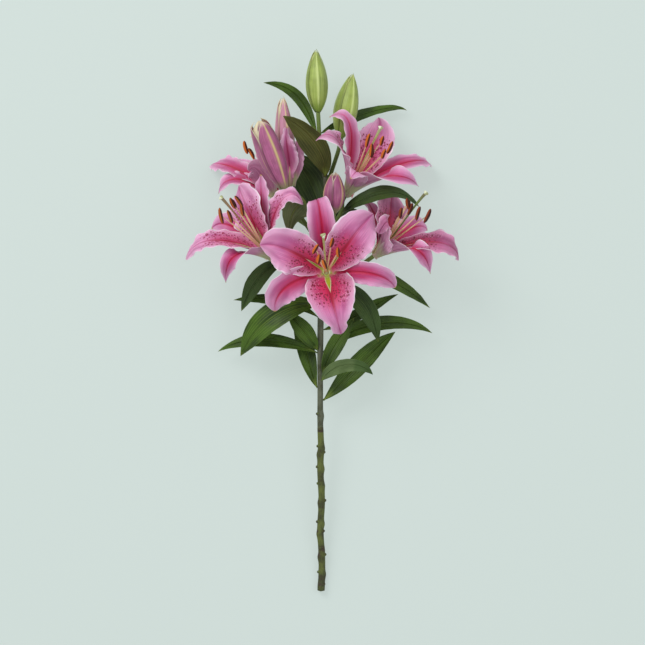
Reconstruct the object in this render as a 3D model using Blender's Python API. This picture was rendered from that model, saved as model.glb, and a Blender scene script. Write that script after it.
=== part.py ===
"""A cut oriental lily stem, laid down on its back.

The stem lies along +Y with its cut end at the low end, the open blooms face up
(+Z) and the green buds point along +Y.  It rests on the rim of the cut end and
on two tepal tips of the outer blooms, which are its three lowest points.

Lengths in the tables are millimetres from the cut end of the stem: x to the
right, y towards the buds, z up from the surface that the stem lies on.
"""

import math

import bpy
import bmesh
import numpy as np
from mathutils import Matrix

MM = 0.001

# ---------------------------------------------------------------- dimensions

BLADE_THICKNESS = 0.9        # tepals
LEAF_THICKNESS = 0.8
GAP = 0.35                   # clearance between neighbouring pieces
TEPAL_ROWS = 6               # steps along a tepal
LEAF_ROWS = 6
BLADE_COLUMNS = 4            # steps across a blade

TUBE_LENGTH = 38.0           # length of the funnel before the tepals part
PETAL_RING = 4.6             # radius of the inner ring of tepals at the base
SEPAL_RING = 5.8             # radius of the outer ring
RECEPTACLE_BELOW = 4.2       # flesh under and over the point where tepals part
RECEPTACLE_ABOVE = 2.4
FILAMENT_RADIUS = 1.1
STYLE_RADIUS = 1.5
ANTHER_RADIUS = 2.3
STIGMA_RADIUS = 3.4
PEDICEL_RADIUS = 2.7

# Main stem: a slightly crooked line with the radius at each point.
STEM = [
    (0, 0, 4.6, 4.6), (1, 26, 7, 4.3), (1, 50, 10, 4.2),
    (-1, 86, 15, 4.2), (1, 124, 20, 4.1), (-1, 167, 25, 4.1),
    (0, 197, 29, 4.1), (-1, 228, 32, 3.7), (-1, 282, 38, 3.6),
    (-1, 336, 43, 3.8), (0, 397, 47, 4), (1, 458, 50, 4),
    (5, 516, 52, 3.6), (7, 548, 54, 3.2), (3, 580, 56, 2.8),
    (-2, 618, 59, 2.5), (-4, 650, 62, 2.3),
]

# Old leaf scars on the bare lower stem: height along the stem, turn round it.
SCARS = [
    (9, 50), (26, 190), (50, 5), (59, 100), (82, 20), (95, 170), (124, 5),
    (147, 200), (170, 165), (190, 350), (198, 185), (221, 95), (242, 180),
]

# Stalks that branch from the stem: start height, points on the way, end.
# The end point is the base of the bloom or bud that the stalk carries.
PEDICELS = {
    "bloom_front": (393, (5, 416, 54)),
    "bloom_left": (408, (-39, 443, 58)),
    "bloom_right": (416, (47, 440, 58)),
    "bloom_upper_right": (481, (26, 513, 46)),
    "bloom_upper_left": (483, (-45, 516, 34)),
    "bud_right": (549, (22, 594, 54)),
    "bud_large": (467, (-30, 513, 74)),
    "bud_behind": (497, (-28, 522, 54)),
    "bud_small": (473, (15, 498, 78)),
}

# Buds: base, tip, widest diameter, turn of the ridges, bluntness of the tip.
BUDS = {
    "bud_top": ((-4, 650, 62), (-7, 734, 64), 29, 30, 0.0),
    "bud_right": ((27, 616, 52), (43, 702, 54), 31, 10, 0.0),
    "bud_large": ((-47, 541, 88), (-84, 637, 108), 34, 0, 0.14),
    "bud_behind": ((-42, 541, 58), (-52, 670, 56), 29, 0, 0.10),
    "bud_small": ((17, 513, 84), (19, 566, 88), 31, 30, 0.14),
}

# Tepals of the bud that is opening: root, two bends and tip of each, width.
OPENING = [
    ((-34, 551, 58), (-28, 575, 62), (-34, 605, 68), (-26, 613, 68), 22),
    ((-40, 564, 66), (-38, 586, 76), (-46, 621, 80), (-59, 618, 74), 24),
]

# Blooms: base of the funnel, the way it faces, and six tepals.  A tepal has a
# kind, a bend point that it curves towards, a tip point, its width, a twist.
BLOOMS = {
    "bloom_front": dict(
        base=(7, 435, 70), axis=(0.03, -0.12, 0.99),
        tepals=[
            ("petal", (-50, 477, 150), (-82, 470, 112), 62, 0),
            ("petal", (47, 491, 150), (70, 512, 112), 62, 0),
            ("wide", (18, 381, 150), (27, 351, 104), 70, 0),
            ("sepal", (-5, 564, 150), (-7, 522, 98), 38, 0),
            ("sepal", (-65, 423, 132), (-62, 381, 86), 43, 0),
            ("sepal", (84, 441, 135), (100, 413, 88), 34, 0),
        ],
        anthers=[
            ((-7, 464, 148), 60, 13), ((-3, 451, 144), 80, 12),
            ((5, 444, 150), 110, 12), ((14, 473, 146), 75, 12),
            ((23, 460, 140), 95, 12), ((-4, 452, 132), 70, 11),
        ],
        stigma=(3, 482, 158),
    ),
    "bloom_left": dict(
        base=(-66, 455, 70), axis=(-0.60, 0.58, 0.55),
        tepals=[
            ("wide", (-163, 497, 130), (-182, 452, 80), 50, -25),
            ("sepal", (-131, 514, 72), (-148, 493, 54), 38, 0),
            ("petal", (-107, 537, 96), (-111, 551, 70), 62, 0),
            ("sepal", (-80, 541, 84), (-81, 566, 80), 36, 0),
            ("petal", (-47, 572, 140), (-24, 524, 112), 40, 0),
            ("folded", (-130, 468, 142), (-128, 420, 84), 35, -110),
        ],
        anthers=[
            ((-133, 509, 128), 102, 19), ((-122, 508, 122), 110, 16),
            ((-118, 526, 122), 115, 14), ((-110, 528, 126), 125, 16),
            ((-105, 517, 120), 100, 15), ((-117, 525, 110), 115, 13),
        ],
        stigma=(-133, 533, 134),
    ),
    "bloom_right": dict(
        base=(74, 459, 70), axis=(0.62, 0.50, 0.60),
        tepals=[
            ("petal", (93, 529, 70), (96, 548, 54), 59, 0),
            ("sepal", (66, 521, 84), (59, 536, 58), 32, 0),
            ("wide", (97, 524, 166), (77, 485, 122), 46, 0),
            ("petal", (184, 491, 130), (180, 448, 84), 42, 0),
            ("sepal", (134, 508, 62), (144, 491, 48), 36, 0),
            ("folded", (138, 482, 148), (147, 432, 84), 36, 115),
        ],
        anthers=[
            ((116, 526, 128), 100, 12), ((119, 518, 124), 70, 15),
            ((130, 512, 126), 75, 17), ((142, 509, 122), 65, 18),
            ((107, 513, 118), 80, 13), ((117, 524, 112), 90, 12),
        ],
        stigma=(140, 539, 132),
    ),
    "bloom_upper_right": dict(
        base=(35, 541, 54), axis=(0.43, 0.75, 0.50),
        tepals=[
            ("sepal", (54, 666, 100), (11, 643, 76), 34, 0),
            ("petal", (23, 641, 138), (-7, 610, 108), 48, 0),
            ("petal", (89, 625, 45), (78, 645, 24), 53, 0),
            ("sepal", (142, 601, 50), (150, 579, 0), 32, 0),
            ("folded", (109, 575, 158), (131, 549, 92), 46, 75),
            ("sepal", (55, 579, 148), (39, 558, 136), 34, 0),
        ],
        anthers=[
            ((63, 610, 112), 75, 17), ((67, 597, 112), 85, 16),
            ((82, 610, 104), 75, 12), ((92, 601, 108), 65, 16),
            ((84, 592, 112), 70, 12), ((68, 595, 98), 85, 13),
        ],
        stigma=(80, 627, 112),
    ),
    "bloom_upper_left": dict(
        base=(-61, 536, 36), axis=(-0.38, 0.74, 0.55),
        tepals=[
            ("petal", (-136, 589, 42), (-150, 581, 0), 35, 0),
            ("sepal", (-131, 574, 62), (-139, 541, 40), 32, 0),
            ("petal", (-90, 589, 82), (-97, 570, 74), 38, 0),
            ("petal", (-72, 606, 40), (-72, 620, 20), 34, 0),
            ("sepal", (-54, 562, 28), (-61, 580, 22), 24, 0),
            ("sepal", (-115, 589, 28), (-128, 578, 12), 28, 0),
        ],
        anthers=[
            ((-101, 602, 84), 105, 16), ((-94, 594, 80), 118, 14),
            ((-77, 599, 60), 90, 13), ((-70, 594, 54), 80, 13),
            ((-74, 609, 56), 90, 13), ((-78, 585, 62), 95, 13),
        ],
        stigma=(-92, 618, 82),
    ),
}

# Leaves: what they grow from, where along it, turn round it (0 is +x, 90 is
# up), two points that the midrib curves towards, tip, width, twist.
LEAVES = {
    "leaf_01": ("stem", 262, 0, (26, 279, 38), (68, 332, 46), (101, 354, 22), 29, 0),
    "leaf_02": ("stem", 277, 190, (-14, 293, 36), (-20, 343, 26), (-39, 379, 24), 24, 0),
    "leaf_03": ("stem", 288, 60, (11, 308, 74), (49, 321, 82), (70, 296, 58), 25, 0),
    "leaf_04": ("stem", 297, 40, (8, 313, 58), (16, 336, 56), (45, 373, 46), 23, 0),
    "leaf_05": ("stem", 325, 180, (-35, 339, 54), (-96, 355, 46), (-140, 327, 22), 20, 0),
    "leaf_06": ("stem", 327, 330, (32, 362, 36), (104, 382, 46), (151, 352, 28), 21, 0),
    "leaf_07": ("stem", 329, 140, (-16, 347, 58), (-28, 363, 60), (-46, 381, 54), 24, 0),
    "leaf_08": ("stem", 355, 315, (32, 362, 22), (72, 393, 26), (105, 405, 22), 18, 0),
    "leaf_09": ("stem", 373, 215, (-35, 397, 30), (-80, 402, 36), (-119, 397, 24), 16, 0),
    "leaf_10": ("stem", 389, 150, (-24, 394, 72), (-77, 387, 90), (-109, 321, 44), 39, 0),
    "leaf_11": ("stem", 397, 20, (32, 424, 66), (68, 402, 84), (77, 340, 54), 30, 0),
    "leaf_12": ("bloom_left", 0.72, 250, (-66, 448, 50), (-86, 437, 58), (-108, 382, 38), 25, 0),
    "leaf_13": ("stem", 437, 330, (39, 446, 40), (94, 435, 52), (148, 386, 28), 21, 0),
    "leaf_14": ("bloom_left", 0.62, 90, (-43, 481, 84), (-51, 516, 110), (-20, 529, 96), 36, 0),
    "leaf_15": ("stem", 491, 285, (18, 501, 30), (35, 516, 34), (58, 513, 38), 26, 0),
    "leaf_16": ("stem", 505, 250, (-3, 532, 26), (-19, 589, 13), (-54, 589, 12), 52, 0),
    "leaf_17": ("bloom_upper_right", 0.62, 60, (42, 526, 96), (99, 563, 104), (132, 522, 80), 24, 0),
    "leaf_18": ("stem", 563, 95, (9, 585, 72), (-9, 620, 92), (-51, 644, 92), 39, 0),
    "leaf_19": ("stem", 622, 300, (20, 634, 24), (92, 670, 14), (117, 655, 14), 17, 0),
    "leaf_20": ("stem", 621, 170, (-15, 643, 46), (-24, 690, 42), (-78, 691, 46), 16, 0),
}

STALKED = ("leaf_14",)       # leaves that narrow to a long stalk

COLOURS = {
    "stem": ((0.20, 0.25, 0.10), 0.55),
    "leaf": ((0.05, 0.11, 0.025), 0.42),
    "tepals": ((0.72, 0.27, 0.48), 0.50),
    "stamens": ((0.42, 0.20, 0.06), 0.60),
    "bud_top": ((0.42, 0.56, 0.17), 0.48),
    "bud_right": ((0.38, 0.48, 0.15), 0.48),
    "bud_large": ((0.55, 0.22, 0.36), 0.50),
    "bud_behind": ((0.66, 0.30, 0.46), 0.50),
    "bud_small": ((0.52, 0.22, 0.33), 0.50),
}


# ------------------------------------------------------------------ geometry

def unit(v):
    """The vector v at length one."""
    v = np.asarray(v, float)
    return v / np.linalg.norm(v)


def bezier(points, count=97):
    """Points along a cubic curve, evenly spaced by length."""
    p = np.asarray(points, float)
    t = np.linspace(0.0, 1.0, 4 * count)[:, None]
    fine = ((1 - t) ** 3 * p[0] + 3 * (1 - t) ** 2 * t * p[1]
            + 3 * (1 - t) * t ** 2 * p[2] + t ** 3 * p[3])
    run = np.concatenate([[0], np.cumsum(np.linalg.norm(np.diff(fine, axis=0), axis=1))])
    even = np.linspace(0, run[-1], count)
    return np.stack([np.interp(even, run, fine[:, i]) for i in range(3)], axis=1)


def smooth_path(points, count=97):
    """A smooth line through the points, evenly spaced by length."""
    p = np.asarray(points, float)
    p = np.vstack([2 * p[0] - p[1], p, 2 * p[-1] - p[-2]])
    fine = []
    for a, b, c, d in zip(p, p[1:], p[2:], p[3:]):
        for t in np.linspace(0, 1, 24, endpoint=False):
            fine.append(0.5 * (2 * b + (c - a) * t + (2 * a - 5 * b + 4 * c - d) * t * t
                               + (3 * b - a - 3 * c + d) * t ** 3))
    fine.append(p[-2])
    fine = np.array(fine)
    run = np.concatenate([[0], np.cumsum(np.linalg.norm(np.diff(fine[:, :3], axis=0), axis=1))])
    even = np.linspace(0, run[-1], count)
    return np.stack([np.interp(even, run, fine[:, i]) for i in range(p.shape[1])], axis=1)


def frames(line, normal):
    """Tangents and normals that turn with the line and don't spin round it."""
    tangents = np.gradient(line, axis=0)
    tangents /= np.linalg.norm(tangents, axis=1)[:, None]
    n = np.asarray(normal, float)
    normals = []
    for t in tangents:
        n = unit(n - t * n.dot(t))
        normals.append(n)
    return tangents, np.array(normals)


def at(values, u):
    """Rows of an evenly spaced table, read at fractions u of its length."""
    x = np.asarray(u, float) * (len(values) - 1)
    i = np.clip(x.astype(int), 0, len(values) - 2)
    f = (x - i)[..., None]
    return values[i] * (1 - f) + values[i + 1] * f


def outline(u, lead, tail, base):
    """Half width of a blade, from its base share to one at the widest place."""
    u = np.asarray(u, float)
    peak = lead / (lead + tail)
    top = peak ** lead * (1 - peak) ** tail
    body = np.maximum(u, 0) ** lead * np.maximum(1 - u, 0) ** tail / top
    return np.maximum(body, base * np.clip(1 - 2.2 * u, 0, 1) + 0.03)


SHAPES = {
    # lead and tail of the outline, share of width at the base, half angle of
    # the cupped section at base, middle and tip, height and count of waves
    "petal": dict(lead=1.40, tail=0.86, base=0.28, cup=(1.15, 0.42, -0.35), wave=2.2, waves=2.5),
    "wide": dict(lead=1.00, tail=1.42, base=0.28, cup=(1.15, 0.42, -0.55), wave=2.2, waves=2.5),
    "folded": dict(lead=0.85, tail=1.30, base=0.30, cup=(1.15, 0.60, 0.20), wave=1.2, waves=2.0),
    "sepal": dict(lead=1.15, tail=0.84, base=0.30, cup=(1.15, 0.38, -0.15), wave=1.2, waves=2.0),
    "stalked": dict(lead=3.0, tail=0.90, base=0.10, cup=(0.95, 0.40, 0.25), wave=1.0, waves=2.0),
    "leaf": dict(lead=0.95, tail=1.0, base=0.07, cup=(0.95, 0.40, 0.25), wave=1.0, waves=2.0),
}


def blade_surface(line, normal, width, twist, shape, phase, u, v):
    """Middle surface of a petal, sepal or leaf at u along and v across."""
    tangents, normals = frames(line, normal)
    u, v = np.broadcast_arrays(u, v)
    centre, t, n = at(line, u), at(tangents, u), at(normals, u)
    side = np.cross(t, n)
    late = np.clip((u - 0.38) / 0.42, 0, 1)
    turn = math.radians(twist) * (late * late * (3 - 2 * late))[..., None]
    n, side = n * np.cos(turn) + side * np.sin(turn), side * np.cos(turn) - n * np.sin(turn)
    half = 0.5 * width * outline(u, shape["lead"], shape["tail"], shape["base"])
    first, middle, last = shape["cup"]
    early, late = np.clip(u / 0.5, 0, 1), np.clip((u - 0.5) / 0.5, 0, 1)
    bend = first + (middle - first) * early ** 2 * (3 - 2 * early) + (last - middle) * late ** 1.5
    bend = np.where(np.abs(bend) < 0.02, 0.02, bend)
    across = half * np.sin(bend * v) / bend
    lift = half * (1 - np.cos(bend * v)) / bend
    rise = np.clip((u - 0.18) / 0.3, 0, 1) * np.clip((1 - u) / 0.12, 0, 1)
    lift = lift + (shape["wave"] * rise * np.abs(v) ** 3
                   * np.sin(2 * math.pi * shape["waves"] * u + phase + 2.1 * np.sign(v)))
    return centre + side * across[..., None] + n * lift[..., None]


def blade_mesh(surface, rows, columns, thickness):
    """Closed blade round a middle surface, cut into like triangles on both faces."""
    u = np.linspace(0, 1, rows + 1)[:, None]
    v = np.linspace(-1, 1, columns + 1)[None, :]
    middle = surface(u, v)
    e = 1e-3
    du = surface(np.clip(u + e, 0, 1), v) - surface(np.clip(u - e, 0, 1), v)
    dv = surface(u, np.clip(v + e, -1, 1)) - surface(u, np.clip(v - e, -1, 1))
    normal = np.cross(dv, du)
    normal /= np.linalg.norm(normal, axis=-1)[..., None]
    upper, lower = middle + normal * thickness / 2, middle - normal * thickness / 2
    verts = np.concatenate([upper.reshape(-1, 3), lower.reshape(-1, 3)])
    wide, size = columns + 1, (rows + 1) * (columns + 1)
    faces = []
    for r in range(rows):
        for c in range(columns):
            a, b = r * wide + c, r * wide + c + 1
            d, f = a + wide, b + wide
            faces += [(a, b, f), (a, f, d)]
            faces += [(size + a, size + f, size + b), (size + a, size + d, size + f)]
    rim = ([c for c in range(wide)] + [r * wide + columns for r in range(1, rows + 1)]
           + [rows * wide + c for c in range(columns - 1, -1, -1)]
           + [r * wide for r in range(rows - 1, 0, -1)])
    for a, b in zip(rim, rim[1:] + rim[:1]):
        faces += [(b, a, size + a), (b, size + a, size + b)]
    return verts, faces


def tube_mesh(line, radii, sides, step=1, lobes=0, depth=0.0, turn=0.0):
    """Closed tube with a ring at every step of a line and a point at both ends."""
    tangents, normals = (part[::step] for part in frames(line, (0.31, 0.17, 0.93)))
    line = line[::step]
    verts, faces = [], []
    for p, t, n, r in zip(line, tangents, normals, radii):
        side = np.cross(t, n)
        for k in range(sides):
            a = 2 * math.pi * k / sides
            reach = r * (1 + depth * math.cos(lobes * (a - turn)))
            verts.append(p + (n * math.cos(a) + side * math.sin(a)) * reach)
    rings = len(line)
    for i in range(rings - 1):
        for k in range(sides):
            a, b = i * sides + k, i * sides + (k + 1) % sides
            c, d = a + sides, b + sides
            faces += [(a, b, d), (a, d, c)]
    verts += [line[0], line[-1]]
    first, last = len(verts) - 2, len(verts) - 1
    for k in range(sides):
        faces.append((first, (k + 1) % sides, k))
        a = (rings - 1) * sides
        faces.append((last, a + k, a + (k + 1) % sides))
    return np.array(verts), faces


def pod_mesh(centre, direction, length, radius, sides=5, rings=4):
    """A long rounded pod, such as an anther, a leaf scar or a knob."""
    share = np.linspace(0.0, 1.0, rings)
    line = np.asarray(centre) + unit(direction) * length * (share[:, None] - 0.5)
    return tube_mesh(line, radius * np.sin(math.pi * (0.07 + 0.86 * share)) ** 0.7, sides)


# ---------------------------------------------------------------- assembling

def make_material(name, look):
    """Plain material of one colour and roughness."""
    colour, roughness = look
    material = bpy.data.materials.new(name)
    material.use_nodes = True
    shader = material.node_tree.nodes["Principled BSDF"]
    shader.inputs["Base Color"].default_value = (*colour, 1.0)
    shader.inputs["Roughness"].default_value = roughness
    shader.inputs["Metallic"].default_value = 0.0
    material.diffuse_color = (*colour, 1.0)
    return material


def make_object(name, shape, collection=None):
    """A mesh object from vertices in millimetres, with its faces outward."""
    verts, faces = shape
    mesh = bpy.data.meshes.new(name)
    mesh.from_pydata([tuple(v * MM) for v in verts], [], [tuple(map(int, f)) for f in faces])
    bm = bmesh.new()
    bm.from_mesh(mesh)
    bmesh.ops.recalc_face_normals(bm, faces=bm.faces[:])
    bm.to_mesh(mesh)
    bm.free()
    made = bpy.data.objects.new(name, mesh)
    (collection or bpy.context.scene.collection).objects.link(made)
    return made


def fuse(name, shapes):
    """One body from pieces that grow into each other."""
    body = make_object(name, shapes[0])
    if len(shapes) == 1:
        return body
    others = bpy.data.collections.new(name + "_pieces")
    bpy.context.scene.collection.children.link(others)
    for k, shape in enumerate(shapes[1:]):
        make_object(f"{name}_piece_{k}", shape, others)
    join = body.modifiers.new("fuse", "BOOLEAN")
    join.operation = "UNION"
    join.operand_type = "COLLECTION"
    join.collection = others
    join.solver = "MANIFOLD"
    bpy.context.view_layer.objects.active = body
    body.select_set(True)
    bpy.ops.object.modifier_apply(modifier=join.name)
    body.select_set(False)
    for piece in list(others.objects):
        bpy.data.objects.remove(piece, do_unlink=True)
    bpy.data.collections.remove(others)
    fill_pockets(body)
    return body


def fill_pockets(body):
    """Remove the shells of closed pockets, so that the flesh there is solid."""
    bm = bmesh.new()
    bm.from_mesh(body.data)
    bm.verts.ensure_lookup_table()
    left, islands = set(bm.verts), []
    while left:
        island, edge_of = set(), [next(iter(left))]
        while edge_of:
            vert = edge_of.pop()
            if vert in left:
                left.discard(vert)
                island.add(vert)
                edge_of += [e.other_vert(vert) for e in vert.link_edges]
        islands.append(island)
    islands.sort(key=len)
    for island in islands[:-1]:
        bmesh.ops.delete(bm, geom=list(island), context="VERTS")
    bm.to_mesh(body.data)
    bm.free()


def finish(made, look, parent):
    """Shade smooth, give the material and hang under the common empty."""
    made.data.materials.clear()
    made.data.materials.append(make_material(made.name, look))
    made.data.polygons.foreach_set("use_smooth", [True] * len(made.data.polygons))
    made.parent = parent


def pedicel_line(name):
    """Line of the stalk of a bloom or bud, from inside the stem to its end."""
    height, way = PEDICELS[name]
    stem = stem_at(height)[:3]
    if name in BLOOMS:
        end, facing = np.array(BLOOMS[name]["base"], float), unit(BLOOMS[name]["axis"])
    else:
        base, tip = (np.array(point, float) for point in BUDS[name][:2])
        end, facing = base, unit(tip - base)
    stop = RECEPTACLE_BELOW + 1.6 * GAP if name in BLOOMS else 0.1
    return smooth_path([stem, way, end - facing * (stop + 10), end - facing * stop], 31)


def stem_at(height):
    """Point of the stem's middle line and its radius at a height along it."""
    line = smooth_path(STEM, 193)
    return np.array([np.interp(height, line[:, 1], line[:, i]) for i in range(4)])


def build_stem():
    """The main stem with its leaf scars and all the stalks that grow from it."""
    line = smooth_path(STEM, 22)
    radii = line[:, 3] * (1 + 0.03 * np.sin(np.arange(22) * 2.4))
    radii[0], radii[-1] = line[0, 3], line[-1, 3]
    shapes = [tube_mesh(line[:, :3], radii, 8)]
    for height, turn in SCARS:
        x, y, z, radius = stem_at(height)
        a = math.radians(turn)
        out = np.array([math.cos(a), 0.15, math.sin(a)])
        centre = np.array([x, y, z]) + out * (radius - 0.5)
        shapes.append(pod_mesh(centre, (out[2], 0.8, -out[0]), 8.0, 2.0, 4, 3))
    for name in PEDICELS:
        radii = np.linspace(1.0, 1.08, 6) * PEDICEL_RADIUS
        shapes.append(tube_mesh(pedicel_line(name), radii, 6, step=6))
    return fuse("stem", shapes)


def build_bud(name):
    """A closed bud: six soft ridges, blunt base and pointed tip."""
    base, tip, width, turn, blunt = BUDS[name]
    base, tip = np.array(base, float), np.array(tip, float)
    facing = unit(tip - base)
    u = np.linspace(0.0, 1.0, 8)
    line = base + facing * GAP + (tip - base - facing * GAP) * u[:, None]
    swell = np.sin(math.pi * (0.03 + (0.945 - 0.5 * blunt) * u) ** (0.86 + 0.5 * blunt)) ** 0.82
    shapes = [tube_mesh(line, 0.5 * width * swell, 9, 1, 3, 0.05, math.radians(turn))]
    if name == "bud_behind":
        for k, (root, bend_1, bend_2, end, wide) in enumerate(OPENING):
            run = bezier([root, bend_1, bend_2, end])
            shapes.append(blade_mesh(
                lambda u, v: blade_surface(run, (0.3, 0, 1), wide, 0, SHAPES["sepal"], k, u, v),
                TEPAL_ROWS, BLADE_COLUMNS, BLADE_THICKNESS))
    return fuse(name, shapes)


def build_tepals(name):
    """Three petals and three sepals that grow from one receptacle."""
    bloom = BLOOMS[name]
    base, axis = np.array(bloom["base"], float), unit(bloom["axis"])
    middle = base + axis * (RECEPTACLE_ABOVE - RECEPTACLE_BELOW) / 2
    shapes = [pod_mesh(middle, axis, RECEPTACLE_ABOVE + RECEPTACLE_BELOW, 5.7, 7, 3)]
    for k, (kind, bend, tip, width, twist) in enumerate(bloom["tepals"]):
        line, radial = tepal_line(base, axis, kind, bend, tip)
        shape, phase = SHAPES[kind], 1.7 * k
        shapes.append(blade_mesh(
            lambda u, v: blade_surface(line, -radial, width, twist, shape, phase, u, v),
            TEPAL_ROWS, BLADE_COLUMNS, BLADE_THICKNESS))
    return fuse(name + "_tepals", shapes)


def tepal_line(base, axis, kind, bend, tip):
    """Middle line of a tepal: up the funnel, over the bend and to the tip."""
    bend, tip = np.array(bend, float), np.array(tip, float)
    away = bend - base
    radial = unit(away - axis * away.dot(axis))
    outer = kind in ("sepal", "folded")
    ring = SEPAL_RING if outer else PETAL_RING
    start = base + radial * ring - axis * 2.0
    flare = 9.5 if outer else 4.0
    shoulder = base + radial * (ring + flare) + axis * TUBE_LENGTH
    return bezier([start, shoulder, bend, tip]), radial


def build_stamens(name):
    """Six filaments with anthers, and the style with its knob, fused at the ovary."""
    bloom = BLOOMS[name]
    base, axis = np.array(bloom["base"], float), unit(bloom["axis"])
    foot = base + axis * (RECEPTACLE_ABOVE + GAP)
    shapes = [tube_mesh(foot + axis * np.array([[0.0], [4.0], [9.0]]), [2.2, 2.4, 1.5], 6)]
    for (x, y, z), lean, length in bloom["anthers"]:
        end = np.array([x, y, z], float)
        a = math.radians(lean)
        away = end - base
        radial = unit(away - axis * away.dot(axis))
        line = bezier([foot + axis * 4.0 + radial, foot + axis * 26 + radial * 2.5,
                       end - axis * 16 - radial * 3, end])
        shapes.append(tube_mesh(line, [FILAMENT_RADIUS] * 4, 4, step=32))
        shapes.append(pod_mesh(end, (math.cos(a), math.sin(a), 0.25), length, ANTHER_RADIUS, 4))
    end = np.array(bloom["stigma"], float)
    line = bezier([foot + axis * 5, foot + axis * 30, end - axis * 18, end])
    shapes.append(tube_mesh(line, np.linspace(1.0, 1.25, 4) * STYLE_RADIUS, 5, step=32))
    shapes.append(pod_mesh(end, axis, 5.0, STIGMA_RADIUS, 5, 3))
    return fuse(name + "_stamens", shapes)


def leaf_source(name):
    """Line and radius of what a leaf grows from, and its place on that line."""
    source, place = LEAVES[name][:2]
    if source == "stem":
        line = smooth_path(STEM, 193)
        return line[:, :3], line[:, 3], int(np.abs(line[:, 1] - place).argmin())
    line = pedicel_line(source)
    return line, np.full(len(line), PEDICEL_RADIUS * 1.08), int(place * (len(line) - 1))


def clearance(points, line, radii):
    """Smallest distance from points to the skin of a tube along a line."""
    apart = np.linalg.norm(points.reshape(-1, 1, 3) - line[None], axis=2)
    return (apart - radii[None]).min()


def build_leaf(name):
    """A leaf whose base sits against the stem or stalk it grows from."""
    turn, bend_1, bend_2, tip, width, twist = LEAVES[name][2:]
    line, radii, spot = leaf_source(name)
    along = unit(line[min(spot + 1, len(line) - 1)] - line[spot - 1])
    out = np.array([math.cos(math.radians(turn)), 0.0, math.sin(math.radians(turn))])
    out = unit(out - along * out.dot(along))
    facing = unit(out * 0.2 + along * 0.4 + np.array([0.0, 0.0, 1.0]))
    shape = SHAPES["stalked" if name in STALKED else "leaf"]
    phase = 0.9 * int(name[-2:])
    reach = radii[spot] + GAP + 1.0
    for _ in range(4):
        midrib = bezier([line[spot] + out * reach, bend_1, bend_2, tip])
        blade = blade_mesh(
            lambda u, v: blade_surface(midrib, facing, width, twist, shape, phase, u, v),
            LEAF_ROWS, BLADE_COLUMNS, LEAF_THICKNESS)
        reach += GAP - clearance(blade[0], line, radii)
    return fuse(name, [blade])


def main():
    """Clear the scene, build every piece and put the part's origin under it."""
    for old in list(bpy.data.objects):
        bpy.data.objects.remove(old, do_unlink=True)
    whole = bpy.data.objects.new("cut_lily", None)
    bpy.context.scene.collection.objects.link(whole)
    pieces = [(build_stem(), COLOURS["stem"])]
    for name in BLOOMS:
        pieces.append((build_tepals(name), COLOURS["tepals"]))
        pieces.append((build_stamens(name), COLOURS["stamens"]))
    pieces += [(build_bud(name), COLOURS[name]) for name in BUDS]
    pieces += [(build_leaf(name), COLOURS["leaf"]) for name in LEAVES]
    points = np.array([v.co[:] for made, _ in pieces for v in made.data.vertices])
    low, high = points.min(axis=0), points.max(axis=0)
    shift = np.array([(low[0] + high[0]) / 2, (low[1] + high[1]) / 2, low[2]])
    for made, look in pieces:
        finish(made, look, whole)
        made.data.transform(Matrix.Translation(-shift))


main()
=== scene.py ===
"""Looks of a cut oriental lily that lies on its back on a pale floor.

Every piece is grown from the same lines and widths as its solid, only finer:
tepals with ruffled edges, a sunken midrib and spots, ribbed buds, veined
leaves and a scarred stem.  Lengths in the tables are millimetres from the cut
end of the stem: x to the right, y towards the buds, z up from the floor.
"""

import logging
import math
from dataclasses import dataclass, field
from enum import Enum
from typing import Callable, Optional, Sequence, Union

import bpy
import numpy as np
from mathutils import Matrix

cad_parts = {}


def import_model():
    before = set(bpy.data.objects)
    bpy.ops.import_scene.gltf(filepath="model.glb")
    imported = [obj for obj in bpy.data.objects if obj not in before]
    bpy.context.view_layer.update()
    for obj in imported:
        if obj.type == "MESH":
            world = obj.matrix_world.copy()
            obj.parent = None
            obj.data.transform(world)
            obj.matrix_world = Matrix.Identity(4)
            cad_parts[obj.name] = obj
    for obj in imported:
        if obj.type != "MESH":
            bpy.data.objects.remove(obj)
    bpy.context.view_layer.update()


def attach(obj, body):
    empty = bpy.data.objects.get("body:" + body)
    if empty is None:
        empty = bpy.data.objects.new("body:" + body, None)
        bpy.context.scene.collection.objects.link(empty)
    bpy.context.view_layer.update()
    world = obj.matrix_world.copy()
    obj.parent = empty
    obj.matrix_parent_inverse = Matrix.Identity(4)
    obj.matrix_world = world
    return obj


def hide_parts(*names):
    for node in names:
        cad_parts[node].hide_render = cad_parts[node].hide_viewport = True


LOG = logging.getLogger("lily")
MM = 0.001
ORIGIN = np.array([0.991, -366.800, 0.284])   # cut end's place under the part's own origin
START = (0.31, 0.17, 0.93)   # no middle line runs this way, so the turned normals can start here
ROWS = 97   # points on a middle line
TIP_CROWDING = 1.12   # above one, a blade's rows lie closer together towards its tip
FLESH_STEPS = 16   # steps of thickness between a blade's edge and its midrib
THIN_EDGE = 0.4   # a blade's thickness at its edge, as a share of that at its midrib

Point = tuple[float, float, float]
Colour = tuple[float, float, float]
Surface = Callable[[np.ndarray, np.ndarray], np.ndarray]
Marks = Callable[[np.ndarray, np.ndarray], tuple]


# ---------------------------------------------------------------- lines

def unit(v: Sequence[float]) -> np.ndarray:
    """The vector v at length one."""
    v = np.asarray(v, float)
    return v / np.linalg.norm(v)


def even(fine: np.ndarray, count: int) -> np.ndarray:
    """Points of a dense line, spaced evenly by length.

    Args:
        fine: rows of x, y, z and any further values such as a radius.
        count: how many rows to return.

    Returns:
        The evenly spaced rows.
    """
    run = np.concatenate([[0], np.cumsum(np.linalg.norm(np.diff(fine[:, :3], axis=0), axis=1))])
    spots = np.linspace(0, run[-1], count)
    return np.stack([np.interp(spots, run, fine[:, i]) for i in range(fine.shape[1])], axis=1)


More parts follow.
